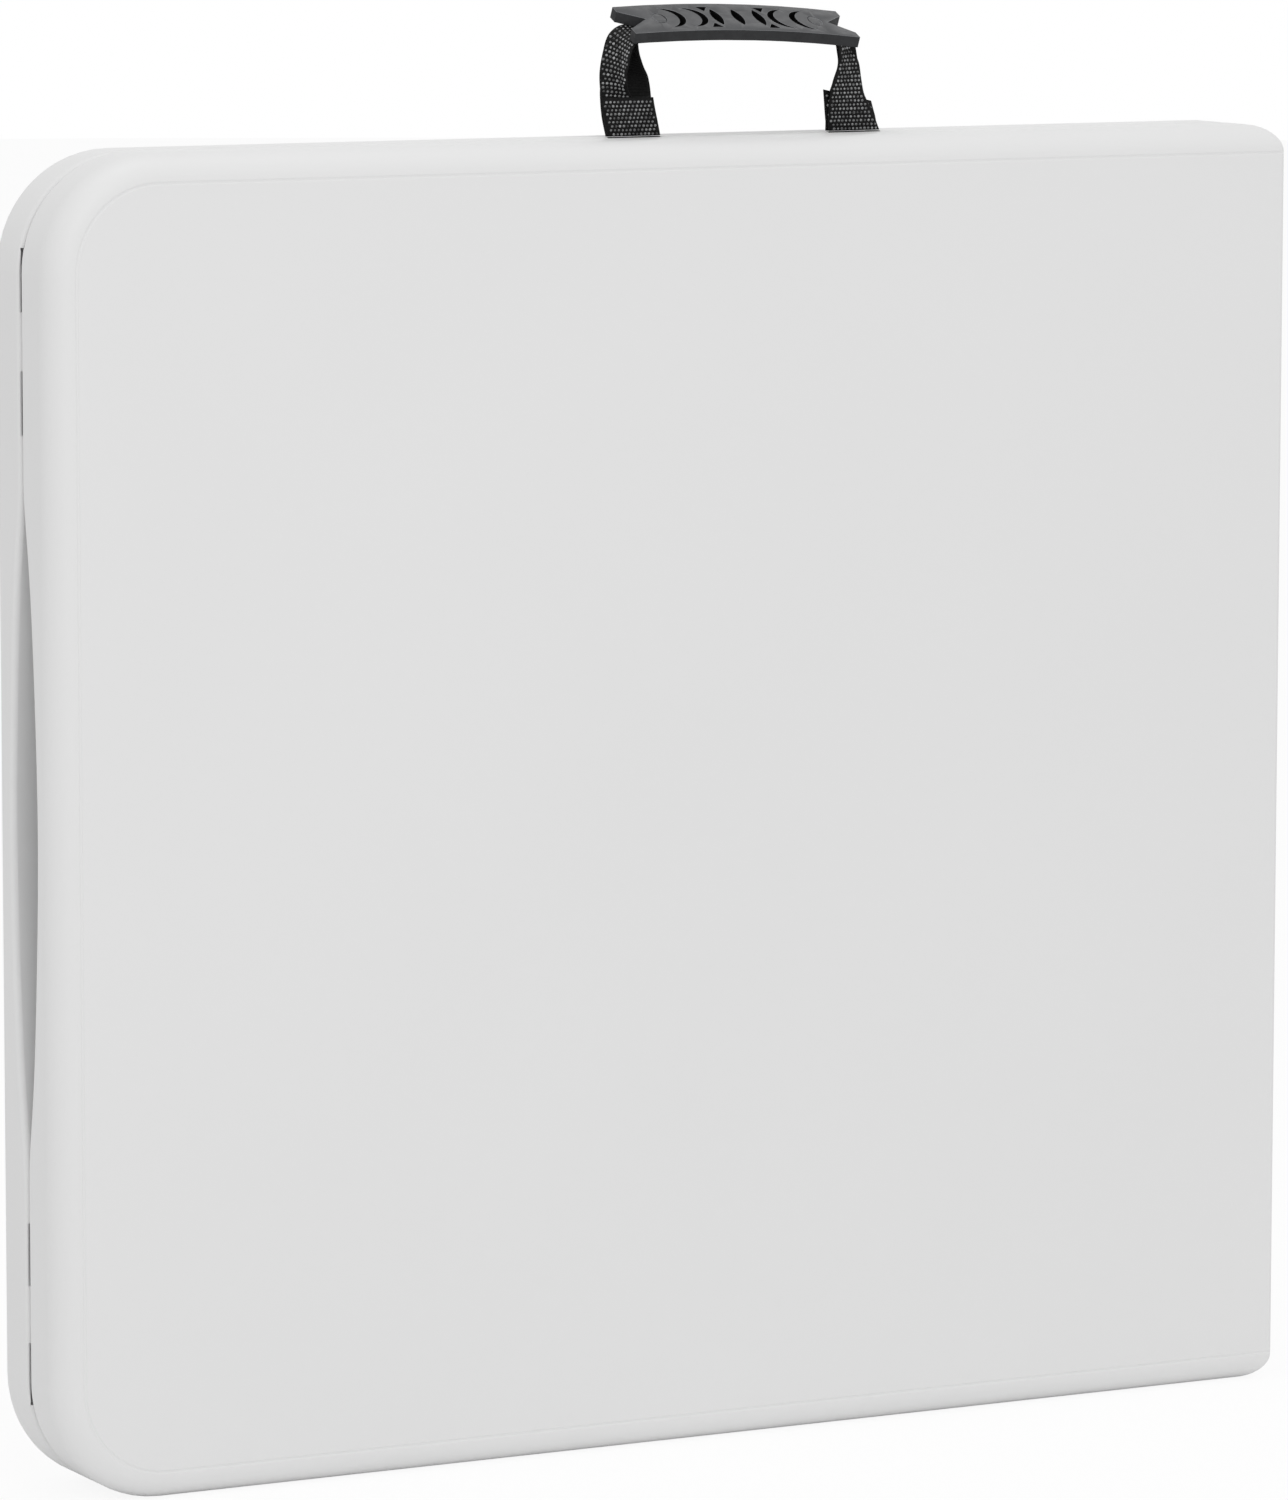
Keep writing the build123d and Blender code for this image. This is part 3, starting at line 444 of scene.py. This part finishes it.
def on_band(frames, i, k, height):
    """Place and outward direction on a cupped band; k runs from -1 to 1 across it."""
    centre, across, outward, along, width, cup = (part[i] for part in frames)
    half = width / 2 / cup
    normal = outward * math.cos(k * cup) - across * math.sin(k * cup)
    place = centre + across * (half * math.sin(k * cup)) + outward * (half * (1 - math.cos(k * cup)))
    return place + normal * height, normal


def band_mesh(name, frames, thickness):
    """Closed band of webbing with rounded edges, swept along its frames, with a weave map in millimetres."""
    centre, width = frames[0], frames[4]
    profile = []
    for side in (1, -1):
        for i in range(ACROSS_STEPS + 1):
            k = -1 + 2 * i / ACROSS_STEPS
            profile.append((side * k, side * (PLY_MIDDLE if abs(k) < 1 else PLY_EDGE)))
    lengths = steps_along(centre)
    bm = bmesh.new()
    weave = bm.loops.layers.uv.new("weave")
    rings = [
        [bm.verts.new(on_band(frames, i, k, h * thickness)[0]) for k, h in profile]
        for i in range(len(centre))
    ]
    n = len(profile)
    for i in range(len(rings) - 1):
        for j in range(n):
            q = (j + 1) % n
            face = bm.faces.new((rings[i][j], rings[i][q], rings[i + 1][q], rings[i + 1][j]))
            for loop, (a, b) in zip(face.loops, ((i, j), (i, q), (i + 1, q), (i + 1, j))):
                loop[weave].uv = (profile[b][0] * width[a] / 2 / MM, lengths[a] / MM)
            face.smooth = True
    bm.faces.new(list(reversed(rings[0])))
    bm.faces.new(rings[-1])
    bmesh.ops.recalc_face_normals(bm, faces=bm.faces)
    mesh = bpy.data.meshes.new(name)
    bm.to_mesh(mesh)
    bm.free()
    return mesh


def bead_points(name, frames, sizes):
    """Points of the raised yarns on a band's outer face, with their outward and lengthwise directions."""
    width, lengths, seat = frames[4], steps_along(frames[0]), sizes.ply * YARN_SEAT
    places, normals, tangents = [], [], []
    for r in range(int((lengths[-1] - YARN_MARGIN) / sizes.bead_along)):
        s = YARN_MARGIN + r * sizes.bead_along
        i = min(np.searchsorted(lengths, s, side="right") - 1, len(lengths) - 2)
        part = (s - lengths[i]) / (lengths[i + 1] - lengths[i])
        w = width[i] + (width[i + 1] - width[i]) * part
        count = int((w - 2 * YARN_MARGIN) / sizes.bead_across)
        stagger = YARN_STAGGER if r % 2 else -YARN_STAGGER
        for column in range(count + 1):
            k = (column - count / 2 + stagger) * sizes.bead_across / (w / 2)
            if abs(k) > 1 - YARN_MARGIN / (w / 2):
                continue
            low, normal = on_band(frames, i, k, seat)
            high, _ = on_band(frames, i + 1, k, seat)
            places.append(low + (high - low) * part)
            normals.append(normal)
            tangents.append(frames[3][i])
    mesh = bpy.data.meshes.new(name)
    mesh.from_pydata([tuple(p) for p in places], [], [])
    for label, values in (("outward", normals), ("lengthwise", tangents)):
        attribute = mesh.attributes.new(label, "FLOAT_VECTOR", "POINT")
        attribute.data.foreach_set("vector", np.array(values, np.float32).ravel())
    return mesh


def new_tree(name, sizes):
    """Geometry Nodes tree that takes points, the named sizes and a material; also its inputs."""
    tree = bpy.data.node_groups.new(name, "GeometryNodeTree")
    face = tree.interface
    face.new_socket("Geometry", in_out="INPUT", socket_type="NodeSocketGeometry")
    for label in sizes:
        face.new_socket(label, in_out="INPUT", socket_type="NodeSocketFloat")
    face.new_socket("Material", in_out="INPUT", socket_type="NodeSocketMaterial")
    face.new_socket("Geometry", in_out="OUTPUT", socket_type="NodeSocketGeometry")
    return tree, add(tree, "NodeGroupInput").outputs


def bead_tree():
    """Geometry Nodes: one low dome of yarn on every point, laid along the webbing."""
    tree, source = new_tree("raised_yarns", ("Yarn Width", "Yarn Length", "Yarn Height"))
    ball = add(tree, "GeometryNodeMeshUVSphere", {"Segments": 8, "Rings": 5, "Radius": 0.5})
    size = add(tree, "ShaderNodeCombineXYZ", {
        "X": source["Yarn Width"], "Y": source["Yarn Length"], "Z": source["Yarn Height"],
    })
    shaped = add(tree, "GeometryNodeTransform", {"Geometry": ball.outputs["Mesh"], "Scale": size.outputs[0]})
    normal = add(tree, "GeometryNodeInputNamedAttribute", {"Name": "outward"}, data_type="FLOAT_VECTOR")
    length = add(tree, "GeometryNodeInputNamedAttribute", {"Name": "lengthwise"}, data_type="FLOAT_VECTOR")
    up = add(tree, "FunctionNodeAlignRotationToVector", {"Vector": normal.outputs["Attribute"]}, axis="Z")
    turned = add(tree, "FunctionNodeAlignRotationToVector", {
        "Rotation": up.outputs[0], "Vector": length.outputs["Attribute"],
    }, axis="Y", pivot_axis="Z")
    vary = add(tree, "FunctionNodeRandomValue", {"Min": 0.78, "Max": 1.12, "Seed": 4}, data_type="FLOAT")
    placed = add(tree, "GeometryNodeInstanceOnPoints", {
        "Points": source["Geometry"], "Instance": shaped.outputs[0], "Rotation": turned.outputs[0],
        "Scale": [s for s in vary.outputs if s.enabled][0],
    })
    real = add(tree, "GeometryNodeRealizeInstances", {"Geometry": placed.outputs[0]})
    smooth = add(tree, "GeometryNodeSetShadeSmooth", {"Geometry": real.outputs[0]})
    finish = add(tree, "GeometryNodeSetMaterial", {
        "Geometry": smooth.outputs[0], "Material": source["Material"],
    })
    add(tree, "NodeGroupOutput", {"Geometry": finish.outputs[0]})
    return tree


def grown(mesh, tree, values):
    """Plain mesh that the tree makes from a mesh; values are its named inputs."""
    holder = bpy.data.objects.new(mesh.name, mesh)
    bpy.context.scene.collection.objects.link(holder)
    modifier = holder.modifiers.new("grow", "NODES")
    modifier.node_group = tree
    sockets = {s.name: s.identifier for s in tree.interface.items_tree if s.in_out == "INPUT"}
    for label, value in values.items():
        modifier[sockets[label]] = value
    evaluated = holder.evaluated_get(bpy.context.evaluated_depsgraph_get())
    result = bpy.data.meshes.new_from_object(evaluated)
    bpy.data.objects.remove(holder)
    return result


def joined(name, meshes, materials):
    """One object from several meshes, whose material slots are the materials given for each."""
    bm = bmesh.new()
    for mesh, index in meshes:
        start = len(bm.faces)
        bm.from_mesh(mesh)
        bm.faces.ensure_lookup_table()
        for face in bm.faces[start:]:
            face.material_index = index
    mesh = bpy.data.meshes.new(name)
    bm.to_mesh(mesh)
    bm.free()
    for material in materials:
        mesh.materials.append(material)
    piece = bpy.data.objects.new(name, mesh)
    bpy.context.scene.collection.objects.link(piece)
    return piece


# Each band is rows of x, y, z, turn, width, lean and cup, in mm and degrees, from its strap's root upwards.
# A turn of 90 faces the band along the grip. The last word says if it carries raised yarns on its outer face.
OUTER_END_BANDS = {
    "flap": ([
        (0, -1.8, -1.6, 0, 32, 0, 0), (-2.2, -1.8, 8, -1, 32, 0, 0), (-4.0, -1.7, 14.5, -3, 32, 0, 3),
        (-4.8, -1.6, 19.4, -4, 31.5, 0, 5),
    ], True),
    "outer": ([
        (0, -0.3, -1.6, 0, 32, 0, 0), (-3.0, 1.6, 8, -8, 27, 0, 8), (-6.6, 3.6, 16, -20, 20, 0, 20),
        (-8.8, 4.2, 24, -36, 16.5, 0, 32), (-9.2, 2.2, 32.5, -58, 18.6, 0, 36),
        (-8.0, 0.8, 40.5, -70, 21, 0, 30), (-6.2, 0.4, 48.2, -77, 22, 0, 22),
        (-2.4, 1.0, 52.6, -84, 21.5, 0, 12), (2.8, 2.6, 54.2, -90, 20.5, 0, 4), (8.3, 3.7, 54.8, -90, 20, 0, 0),
    ], True),
    "under_grip": ([
        (4.0, 3.3, 54.2, -90, 20, 0, 0), (36.4, 2.5, 55.5, -90, 20, 0, 0), (64.4, 1.7, 55.1, -90, 20, 0, 0),
        (92.3, 1.2, 53.7, -90, 20, 0, 0), (116.0, 1.1, 51.9, -90, 20, 0, 0),
    ], False),
    "inner": ([
        (0, 1.2, -1.6, 0, 32, 0, 0), (-1.2, 3.8, 9, -3, 31.0, 0, 0), (-1.0, 6.7, 20, -8, 29.5, 0, 0),
        (-1.6, 6.2, 30, -25, 26, 0, 6), (-2.8, 4.2, 38, -50, 24, 0, 10), (-3.2, 2.2, 45, -70, 24, 0, 8),
        (-2.6, 0.9, 50.2, -80, 21, 0, 4), (-1.8, 0.5, 53.2, -84, 18, 0, 0),
    ], False),
}
HINGE_END_BANDS = {
    "flap": ([
        (0, 1.1, -1.6, 0, 32, 0, 0), (-1.0, 1.1, 6, 0, 32, 4, 0), (-2.0, 1.1, 12, 0, 31.5, 9, 0),
        (-3.0, 1.1, 17.8, 0, 31, 13, 0),
    ], True),
    "outer": ([
        (0, -1.4, -1.6, 0, 32, 0, 0), (-2.4, -1.4, 9, 2, 28.0, 0, 2), (-4.6, -1.4, 18, 5, 22.8, 0, 4),
        (-4.6, -1.2, 26, 8, 19.6, 0, 6), (-3.6, -0.8, 35, 15, 15.8, 0, 8), (-4.6, -0.4, 41, 26, 14.6, 0, 8),
        (-5.4, -0.4, 46.5, 32, 15.6, 0, 6), (-6.2, -0.2, 51.5, 34, 15.8, 0, 4),
    ], True),
    "inner": ([
        (0, 2.4, -1.6, 0, 32, 0, 0), (-1.4, 3.6, 9, 0, 27, 0, 0), (-2.4, 4.6, 18, -4, 20, 0, 0),
        (-1.6, 4.2, 27, -10, 14.5, 0, 0), (-1.4, 3.2, 35, -18, 11.4, 0, 0), (-3.0, 2.0, 42, -24, 11, 0, 0),
        (-4.6, 1.2, 48, -28, 11, 0, 0),
    ], False),
}


class TABLE_OT_carry_straps(bpy.types.Operator):
    """Weave the two webbing straps that carry the grip"""

    bl_idname = "table.carry_straps"
    bl_label = "Carry Straps"

    def execute(self, context):
        sizes = context.scene.table_straps
        tree = bead_tree()
        yarn, ground = bpy.data.materials["polypropylene_yarn_painted_highlight"], bpy.data.materials["woven_webbing"]
        values = {
            "Yarn Width": sizes.bead_length, "Yarn Length": sizes.bead_length * 0.92,
            "Yarn Height": sizes.bead_height * 2, "Material": yarn,
        }
        for node, bands in (("outer_end_strap", OUTER_END_BANDS), ("hinge_end_strap", HINGE_END_BANDS)):
            root = self.root(node)
            meshes = []
            for label, (rows, yarns) in bands.items():
                rows = [(root.x + x, root.y + y, root.z + z, *rest) for x, y, z, *rest in rows]
                frames = band_frames(rows)
                meshes.append((band_mesh(f"{node}_{label}", frames, sizes.ply), 0))
                if yarns:
                    points = bead_points(f"{node}_{label}_yarns", frames, sizes)
                    meshes.append((grown(points, tree, values), 1))
            piece = joined(f"{node}_webbing", meshes, (ground, yarn))
            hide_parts(node)
            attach(piece, "carry_handle")
        return {"FINISHED"}

    def root(self, node):
        """Middle of the strap's bend, where it meets the table, in mm."""
        points = np.array([v.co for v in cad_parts[node].data.vertices]) / MM
        lowest = points[:, 2].min()
        bend = points[points[:, 2] < lowest + BEND_REACH]
        middle = (bend.min(0) + bend.max(0)) / 2
        return Vector((middle[0], middle[1], lowest + BEND_MIDDLE))


# ---------------------------------------------------------------- grip
FLAT_ANGLE = math.radians(1.0)     # faces that meet at less are one flat face
BEVEL_ANGLE = math.radians(40)     # edges sharper than this are rounded
SHADE_ANGLE = math.radians(35)     # and sharper than this stay crisp in the shading
TOP_SLANT, RIM_SLANT = 0.96, 0.45  # how nearly a face looks the way the grip's top does
OPENINGS_REACH = (0.84, 0.7)       # share of the grip's half length and width that holds its openings
# The wall and opening finishes are painted shade, the edge finish a painted highlight.
GRIP_FINISHES = (
    "moulded_polypropylene", "polypropylene_wall_painted_shade", "polypropylene_edge_painted_highlight",
    "polypropylene_opening_painted_shade",
)
TOP, WALL, RIM, OPENING = range(4)


class TABLE_OT_carry_grip(bpy.types.Operator):
    """Round the moulded edges of the carry grip"""

    bl_idname = "table.carry_grip"
    bl_label = "Carry Grip"

    def execute(self, context):
        sizes = context.scene.table_grip
        bm = bmesh.new()
        bm.from_mesh(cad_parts["handle_grip"].data)
        bmesh.ops.remove_doubles(bm, verts=bm.verts, dist=MERGE_DISTANCE)
        bmesh.ops.dissolve_limit(bm, angle_limit=FLAT_ANGLE, verts=bm.verts, edges=bm.edges)
        sharp = [e for e in bm.edges if len(e.link_faces) == 2 and e.calc_face_angle(0) > BEVEL_ANGLE]
        bmesh.ops.bevel(
            bm, geom=sharp, offset=sizes.edge, offset_type="OFFSET", segments=1, profile=0.5,
            affect="EDGES", clamp_overlap=True,
        )
        bmesh.ops.triangulate(bm, faces=[f for f in bm.faces if len(f.verts) > 4])
        bmesh.ops.recalc_face_normals(bm, faces=bm.faces)
        self.choose_finishes(bm)
        mesh = bpy.data.meshes.new("carry_grip")
        bm.to_mesh(mesh)
        bm.free()
        mesh.set_sharp_from_angle(angle=SHADE_ANGLE)
        for name in GRIP_FINISHES:
            mesh.materials.append(bpy.data.materials[name])
        piece = bpy.data.objects.new("carry_grip", mesh)
        context.scene.collection.objects.link(piece)
        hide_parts("handle_grip")
        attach(piece, "carry_handle")
        return {"FINISHED"}

    def choose_finishes(self, bm):
        """Give each face the finish of the top, the rim, the side walls or the openings' walls; the rim's
        finish is a painted highlight, the walls' and openings' finishes painted shade.
        """
        roll = math.radians(GRIP_ROLL)
        top = Vector((0.0, -math.sin(roll), math.cos(roll)))
        points = np.array([v.co for v in bm.verts])
        middle, reach = (points.min(0) + points.max(0)) / 2, (points.max(0) - points.min(0)) / 2
        for face in bm.faces:
            face.smooth = True
            slant = face.normal.dot(top)
            away = np.abs(np.array(face.calc_center_median()) - middle) / reach
            if slant > RIM_SLANT:
                face.material_index = TOP if slant > TOP_SLANT else RIM
            elif slant > -RIM_SLANT and away[0] < OPENINGS_REACH[0] and away[1] < OPENINGS_REACH[1]:
                face.material_index = OPENING
            else:
                face.material_index = WALL


# ---------------------------------------------------------------- screws
SCREW_NODES = [
    f"{side}_{use}_screws" for side in ("rear", "front") for use in ("rail", "bracket", "hinge")
] + ["strap_screws"]
SHANK_SHARE = 0.5  # radius of a shank, as a share of its head's


def screw_tree():
    """Geometry Nodes: a pan-head screw with a cross recess on every point, turned at random about its axis."""
    tree, source = new_tree("pan_head_screws", (
        "Head Radius", "Head Height", "Shank Radius", "Shank Length",
        "Recess Width", "Recess Span", "Recess Depth",
    ))
    radius, top = source["Head Radius"], source["Head Height"]
    span, width = source["Recess Span"], source["Recess Width"]
    # Each size is taken large enough to cut right through, or is the way down to a middle.
    wide, tall, below, deep, shank_middle = (
        add(tree, "ShaderNodeMath", {0: size, 1: factor}, operation="MULTIPLY").outputs[0]
        for size, factor in (
            (radius, 3.0), (top, 2.0), (top, -1.0),
            (source["Recess Depth"], 2.0), (source["Shank Length"], -0.5),
        )
    )
    ball = add(tree, "GeometryNodeMeshUVSphere", {"Segments": 24, "Rings": 12, "Radius": 1.0})
    shape = add(tree, "ShaderNodeCombineXYZ", {"X": radius, "Y": radius, "Z": top})
    dome = add(tree, "GeometryNodeTransform", {"Geometry": ball.outputs["Mesh"], "Scale": shape.outputs[0]})
    head = add(tree, "GeometryNodeMeshBoolean", {"Mesh 1": dome.outputs[0]}, operation="DIFFERENCE")
    # Cut away: everything under the head, and the two arms of its cross recess.
    for x, y, z, height in ((wide, wide, tall, below), (span, width, deep, top), (width, span, deep, top)):
        size = add(tree, "ShaderNodeCombineXYZ", {"X": x, "Y": y, "Z": z})
        place = add(tree, "ShaderNodeCombineXYZ", {"Z": height})
        block = add(tree, "GeometryNodeMeshCube", {"Size": size.outputs[0]})
        block = add(tree, "GeometryNodeTransform", {
            "Geometry": block.outputs["Mesh"], "Translation": place.outputs[0],
        })
        tree.links.new(block.outputs[0], head.inputs["Mesh 2"])
    shank = add(tree, "GeometryNodeMeshCylinder", {
        "Vertices": 16, "Radius": source["Shank Radius"], "Depth": source["Shank Length"],
    })
    place = add(tree, "ShaderNodeCombineXYZ", {"Z": shank_middle})
    shank = add(tree, "GeometryNodeTransform", {
        "Geometry": shank.outputs["Mesh"], "Translation": place.outputs[0],
    })
    whole = add(tree, "GeometryNodeJoinGeometry", {"Geometry": head.outputs[0]})
    tree.links.new(shank.outputs[0], whole.inputs["Geometry"])
    outward = add(tree, "GeometryNodeInputNamedAttribute", {"Name": "outward"}, data_type="FLOAT_VECTOR")
    upright = add(tree, "FunctionNodeAlignRotationToVector", {"Vector": outward.outputs["Attribute"]}, axis="Z")
    turn = add(tree, "FunctionNodeRandomValue", {"Seed": 9}, data_type="FLOAT")
    turn.inputs[3].default_value = math.pi / 2
    turned = add(tree, "FunctionNodeRotateRotation", {
        "Rotation": upright.outputs[0],
        "Rotate By": add(tree, "FunctionNodeAxisAngleToRotation", {"Angle": turn.outputs[1]}).outputs[0],
    }, rotation_space="LOCAL")
    placed = add(tree, "GeometryNodeInstanceOnPoints", {
        "Points": source["Geometry"], "Instance": whole.outputs[0], "Rotation": turned.outputs[0],
    })
    real = add(tree, "GeometryNodeRealizeInstances", {"Geometry": placed.outputs[0]})
    finish = add(tree, "GeometryNodeSetMaterial", {
        "Geometry": real.outputs[0], "Material": source["Material"],
    })
    add(tree, "NodeGroupOutput", {"Geometry": finish.outputs[0]})
    return tree


def screw_shapes(node):
    """Each screw of a CAD node: the place under its head, its outward direction, and its head's radius
    and height with the shank's length.
    """
    bm = bmesh.new()
    bm.from_mesh(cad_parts[node].data)
    bmesh.ops.remove_doubles(bm, verts=bm.verts, dist=MERGE_DISTANCE)
    waiting, shapes = set(bm.verts), []
    while waiting:
        found, growing = set(), [waiting.pop()]
        while growing:
            vert = growing.pop()
            found.add(vert)
            new = {e.other_vert(vert) for e in vert.link_edges} & waiting
            waiting -= new
            growing += new
        points = np.array([v.co for v in found])
        low, high = points.min(0), points.max(0)
        middle = (low + high) / 2
        reach = np.hypot(points[:, 0] - middle[0], points[:, 2] - middle[2])
        head = points[reach > reach.max() * (1 + SHANK_SHARE) / 2]
        if head[:, 1].mean() > middle[1]:
            side, crown, seat, tip = 1.0, high[1], head[:, 1].min(), low[1]
        else:
            side, crown, seat, tip = -1.0, low[1], head[:, 1].max(), high[1]
        sizes = (reach.max(), abs(crown - seat), abs(seat - tip))
        shapes.append(((middle[0], seat, middle[2]), (0.0, side, 0.0), sizes))
    bm.free()
    return sorted(shapes)


class TABLE_OT_screws(bpy.types.Operator):
    """Turn every plain screw of the frame into a pan-head screw with a cross recess"""

    bl_idname = "table.screws"
    bl_label = "Screws"

    def execute(self, context):
        sizes = context.scene.table_screws
        tree = screw_tree()
        steel = bpy.data.materials["zinc_plated_steel"]
        for node in SCREW_NODES:
            shapes = screw_shapes(node)
            radius, height, length = shapes[0][2]
            mesh = bpy.data.meshes.new(f"pan_head_{node}")
            mesh.from_pydata([place for place, _, _ in shapes], [], [])
            outward = mesh.attributes.new("outward", "FLOAT_VECTOR", "POINT")
            outward.data.foreach_set("vector", np.array([way for _, way, _ in shapes], np.float32).ravel())
            piece = joined(f"pan_head_{node}", [(grown(mesh, tree, {
                "Head Radius": radius, "Head Height": height, "Shank Radius": radius * SHANK_SHARE,
                "Shank Length": length, "Recess Width": sizes.recess_width, "Recess Span": sizes.recess_span,
                "Recess Depth": sizes.recess_depth, "Material": steel,
            }), 0)], (steel,))
            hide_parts(node)
            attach(piece, "front_half" if node.startswith("front") else "rear_half")
        return {"FINISHED"}


# ---------------------------------------------------------------- studio
CAMERA_PLACE = (-2.04536, -3.87884, 0.9446)
CAMERA_TURN = (82.686, -0.0649, -27.6669)  # degrees
CAMERA_LENS = 192.181  # mm, on a film 36 mm high
FILM_HEIGHT = 36.0
FLOOR_RADIUS = 14.0
FLOOR_GLOW = 0.9       # share of plain white that the camera sees on the floor, the rest being its shading


class TABLE_OT_studio(bpy.types.Operator):
    """Set up the camera, soft lights, floor and white surround"""

    bl_idname = "table.studio"
    bl_label = "Studio"

    def execute(self, context):
        setup = context.scene.table_studio
        self.camera(context)
        self.surround(context, setup)
        self.floor(context)
        self.lamp(context, "key_light", (-1.0, -3.3, 1.9), (-0.2, 0.0, 0.4), 1.4, setup.key_power)
        self.lamp(context, "top_light", (-0.2, -0.6, 3.4), (-0.1, 0.0, 0.6), 1.6, setup.top_power)
        return {"FINISHED"}

    def camera(self, context):
        data = bpy.data.cameras.new("camera")
        data.sensor_fit = "VERTICAL"
        data.sensor_height = FILM_HEIGHT
        data.lens = CAMERA_LENS
        data.clip_end = 50.0
        camera = bpy.data.objects.new("camera", data)
        camera.location = CAMERA_PLACE
        camera.rotation_euler = Euler([math.radians(a) for a in CAMERA_TURN])
        context.scene.collection.objects.link(camera)
        context.scene.camera = camera

    def surround(self, context, setup):
        """Even light for the surfaces; plain white to the camera and in reflections."""
        world = bpy.data.worlds.new("surround")
        context.scene.world = world
        world.use_nodes = True
        tree = world.node_tree
        tree.nodes.clear()
        path = add(tree, "ShaderNodeLightPath").outputs
        seen = path["Is Camera Ray"]
        for other in ("Is Glossy Ray", "Is Transmission Ray"):
            seen = add(tree, "ShaderNodeMath", {0: seen, 1: path[other]}, operation="MAXIMUM").outputs[0]
        light = add(tree, "ShaderNodeBackground", {"Color": (1, 1, 1, 1), "Strength": setup.surround})
        white = add(tree, "ShaderNodeBackground", {"Color": (1, 1, 1, 1), "Strength": 1.0})
        mix = add(tree, "ShaderNodeMixShader", {"Fac": seen, 1: light.outputs[0], 2: white.outputs[0]})
        add(tree, "ShaderNodeOutputWorld", {"Surface": mix.outputs[0]})

    def floor(self, context):
        """Wide white floor that keeps a soft shadow and fades into the surround."""
        bm = bmesh.new()
        bmesh.ops.create_circle(bm, cap_ends=True, cap_tris=False, segments=96, radius=FLOOR_RADIUS)
        mesh = bpy.data.meshes.new("floor")
        bm.to_mesh(mesh)
        bm.free()
        floor = bpy.data.objects.new("floor", mesh)
        context.scene.collection.objects.link(floor)
        tree, shader = new_material("studio_paper", **{"Roughness": 0.9, "Specular IOR Level": 0.0})
        finish_surface(tree, shader, linear("#FBFBFB"), linear("#FDFDFD"), patches(tree, 400.0, 2.0), None)
        path = add(tree, "ShaderNodeLightPath").outputs
        white = add(tree, "ShaderNodeEmission", {"Color": (1, 1, 1, 1), "Strength": 1.0})
        share = add(tree, "ShaderNodeMath", {0: path["Is Camera Ray"], 1: FLOOR_GLOW}, operation="MULTIPLY")
        mix = add(tree, "ShaderNodeMixShader", {
            "Fac": share.outputs[0], 1: shader.outputs[0], 2: white.outputs[0],
        })
        tree.links.new(mix.outputs[0], tree.nodes["output"].inputs["Surface"])
        mesh.materials.append(bpy.data.materials["studio_paper"])

    def lamp(self, context, name, place, target, size, power):
        data = bpy.data.lights.new(name, "AREA")
        data.shape = "SQUARE"
        data.size = size
        data.energy = power
        lamp = bpy.data.objects.new(name, data)
        lamp.location = place
        lamp.rotation_euler = (Vector(target) - Vector(place)).to_track_quat("-Z", "Y").to_euler()
        context.scene.collection.objects.link(lamp)


# ---------------------------------------------------------------- panel and registration
class TABLE_PT_panel(bpy.types.Panel):
    bl_idname = "TABLE_PT_panel"
    bl_label = "Folding Table"
    bl_space_type = "VIEW_3D"
    bl_region_type = "UI"
    bl_category = "Table"

    def draw(self, context):
        scene = context.scene
        for title, group, _ in GROUPS:
            box = self.layout.box()
            box.label(text=title)
            for name in getattr(scene, group).bl_rna.properties.keys():
                if name not in ("rna_type", "name"):
                    box.prop(getattr(scene, group), name)
        for operator in STEPS:
            self.layout.operator(operator.bl_idname)


GROUPS = (
    ("Finish", "table_finish", TableFinish),
    ("Straps", "table_straps", StrapSizes),
    ("Grip", "table_grip", GripSizes),
    ("Screws", "table_screws", ScrewSizes),
    ("Studio", "table_studio", StudioSetup),
)
STEPS = (TABLE_OT_studio, TABLE_OT_finish_frame, TABLE_OT_carry_straps, TABLE_OT_carry_grip, TABLE_OT_screws)
CLASSES = tuple(kind for _, _, kind in GROUPS) + STEPS + (TABLE_PT_panel,)


def register():
    for kind in CLASSES:
        bpy.utils.register_class(kind)
    for _, group, kind in GROUPS:
        setattr(bpy.types.Scene, group, bpy.props.PointerProperty(type=kind))


def unregister():
    for _, group, _ in GROUPS:
        delattr(bpy.types.Scene, group)
    for kind in reversed(CLASSES):
        bpy.utils.unregister_class(kind)


def main():
    register()
    bpy.context.scene.view_settings.view_transform = "Standard"
    for step in STEPS:
        group, name = step.bl_idname.split(".")
        getattr(getattr(bpy.ops, group), name)()


if __name__ == "__main__":
    main()
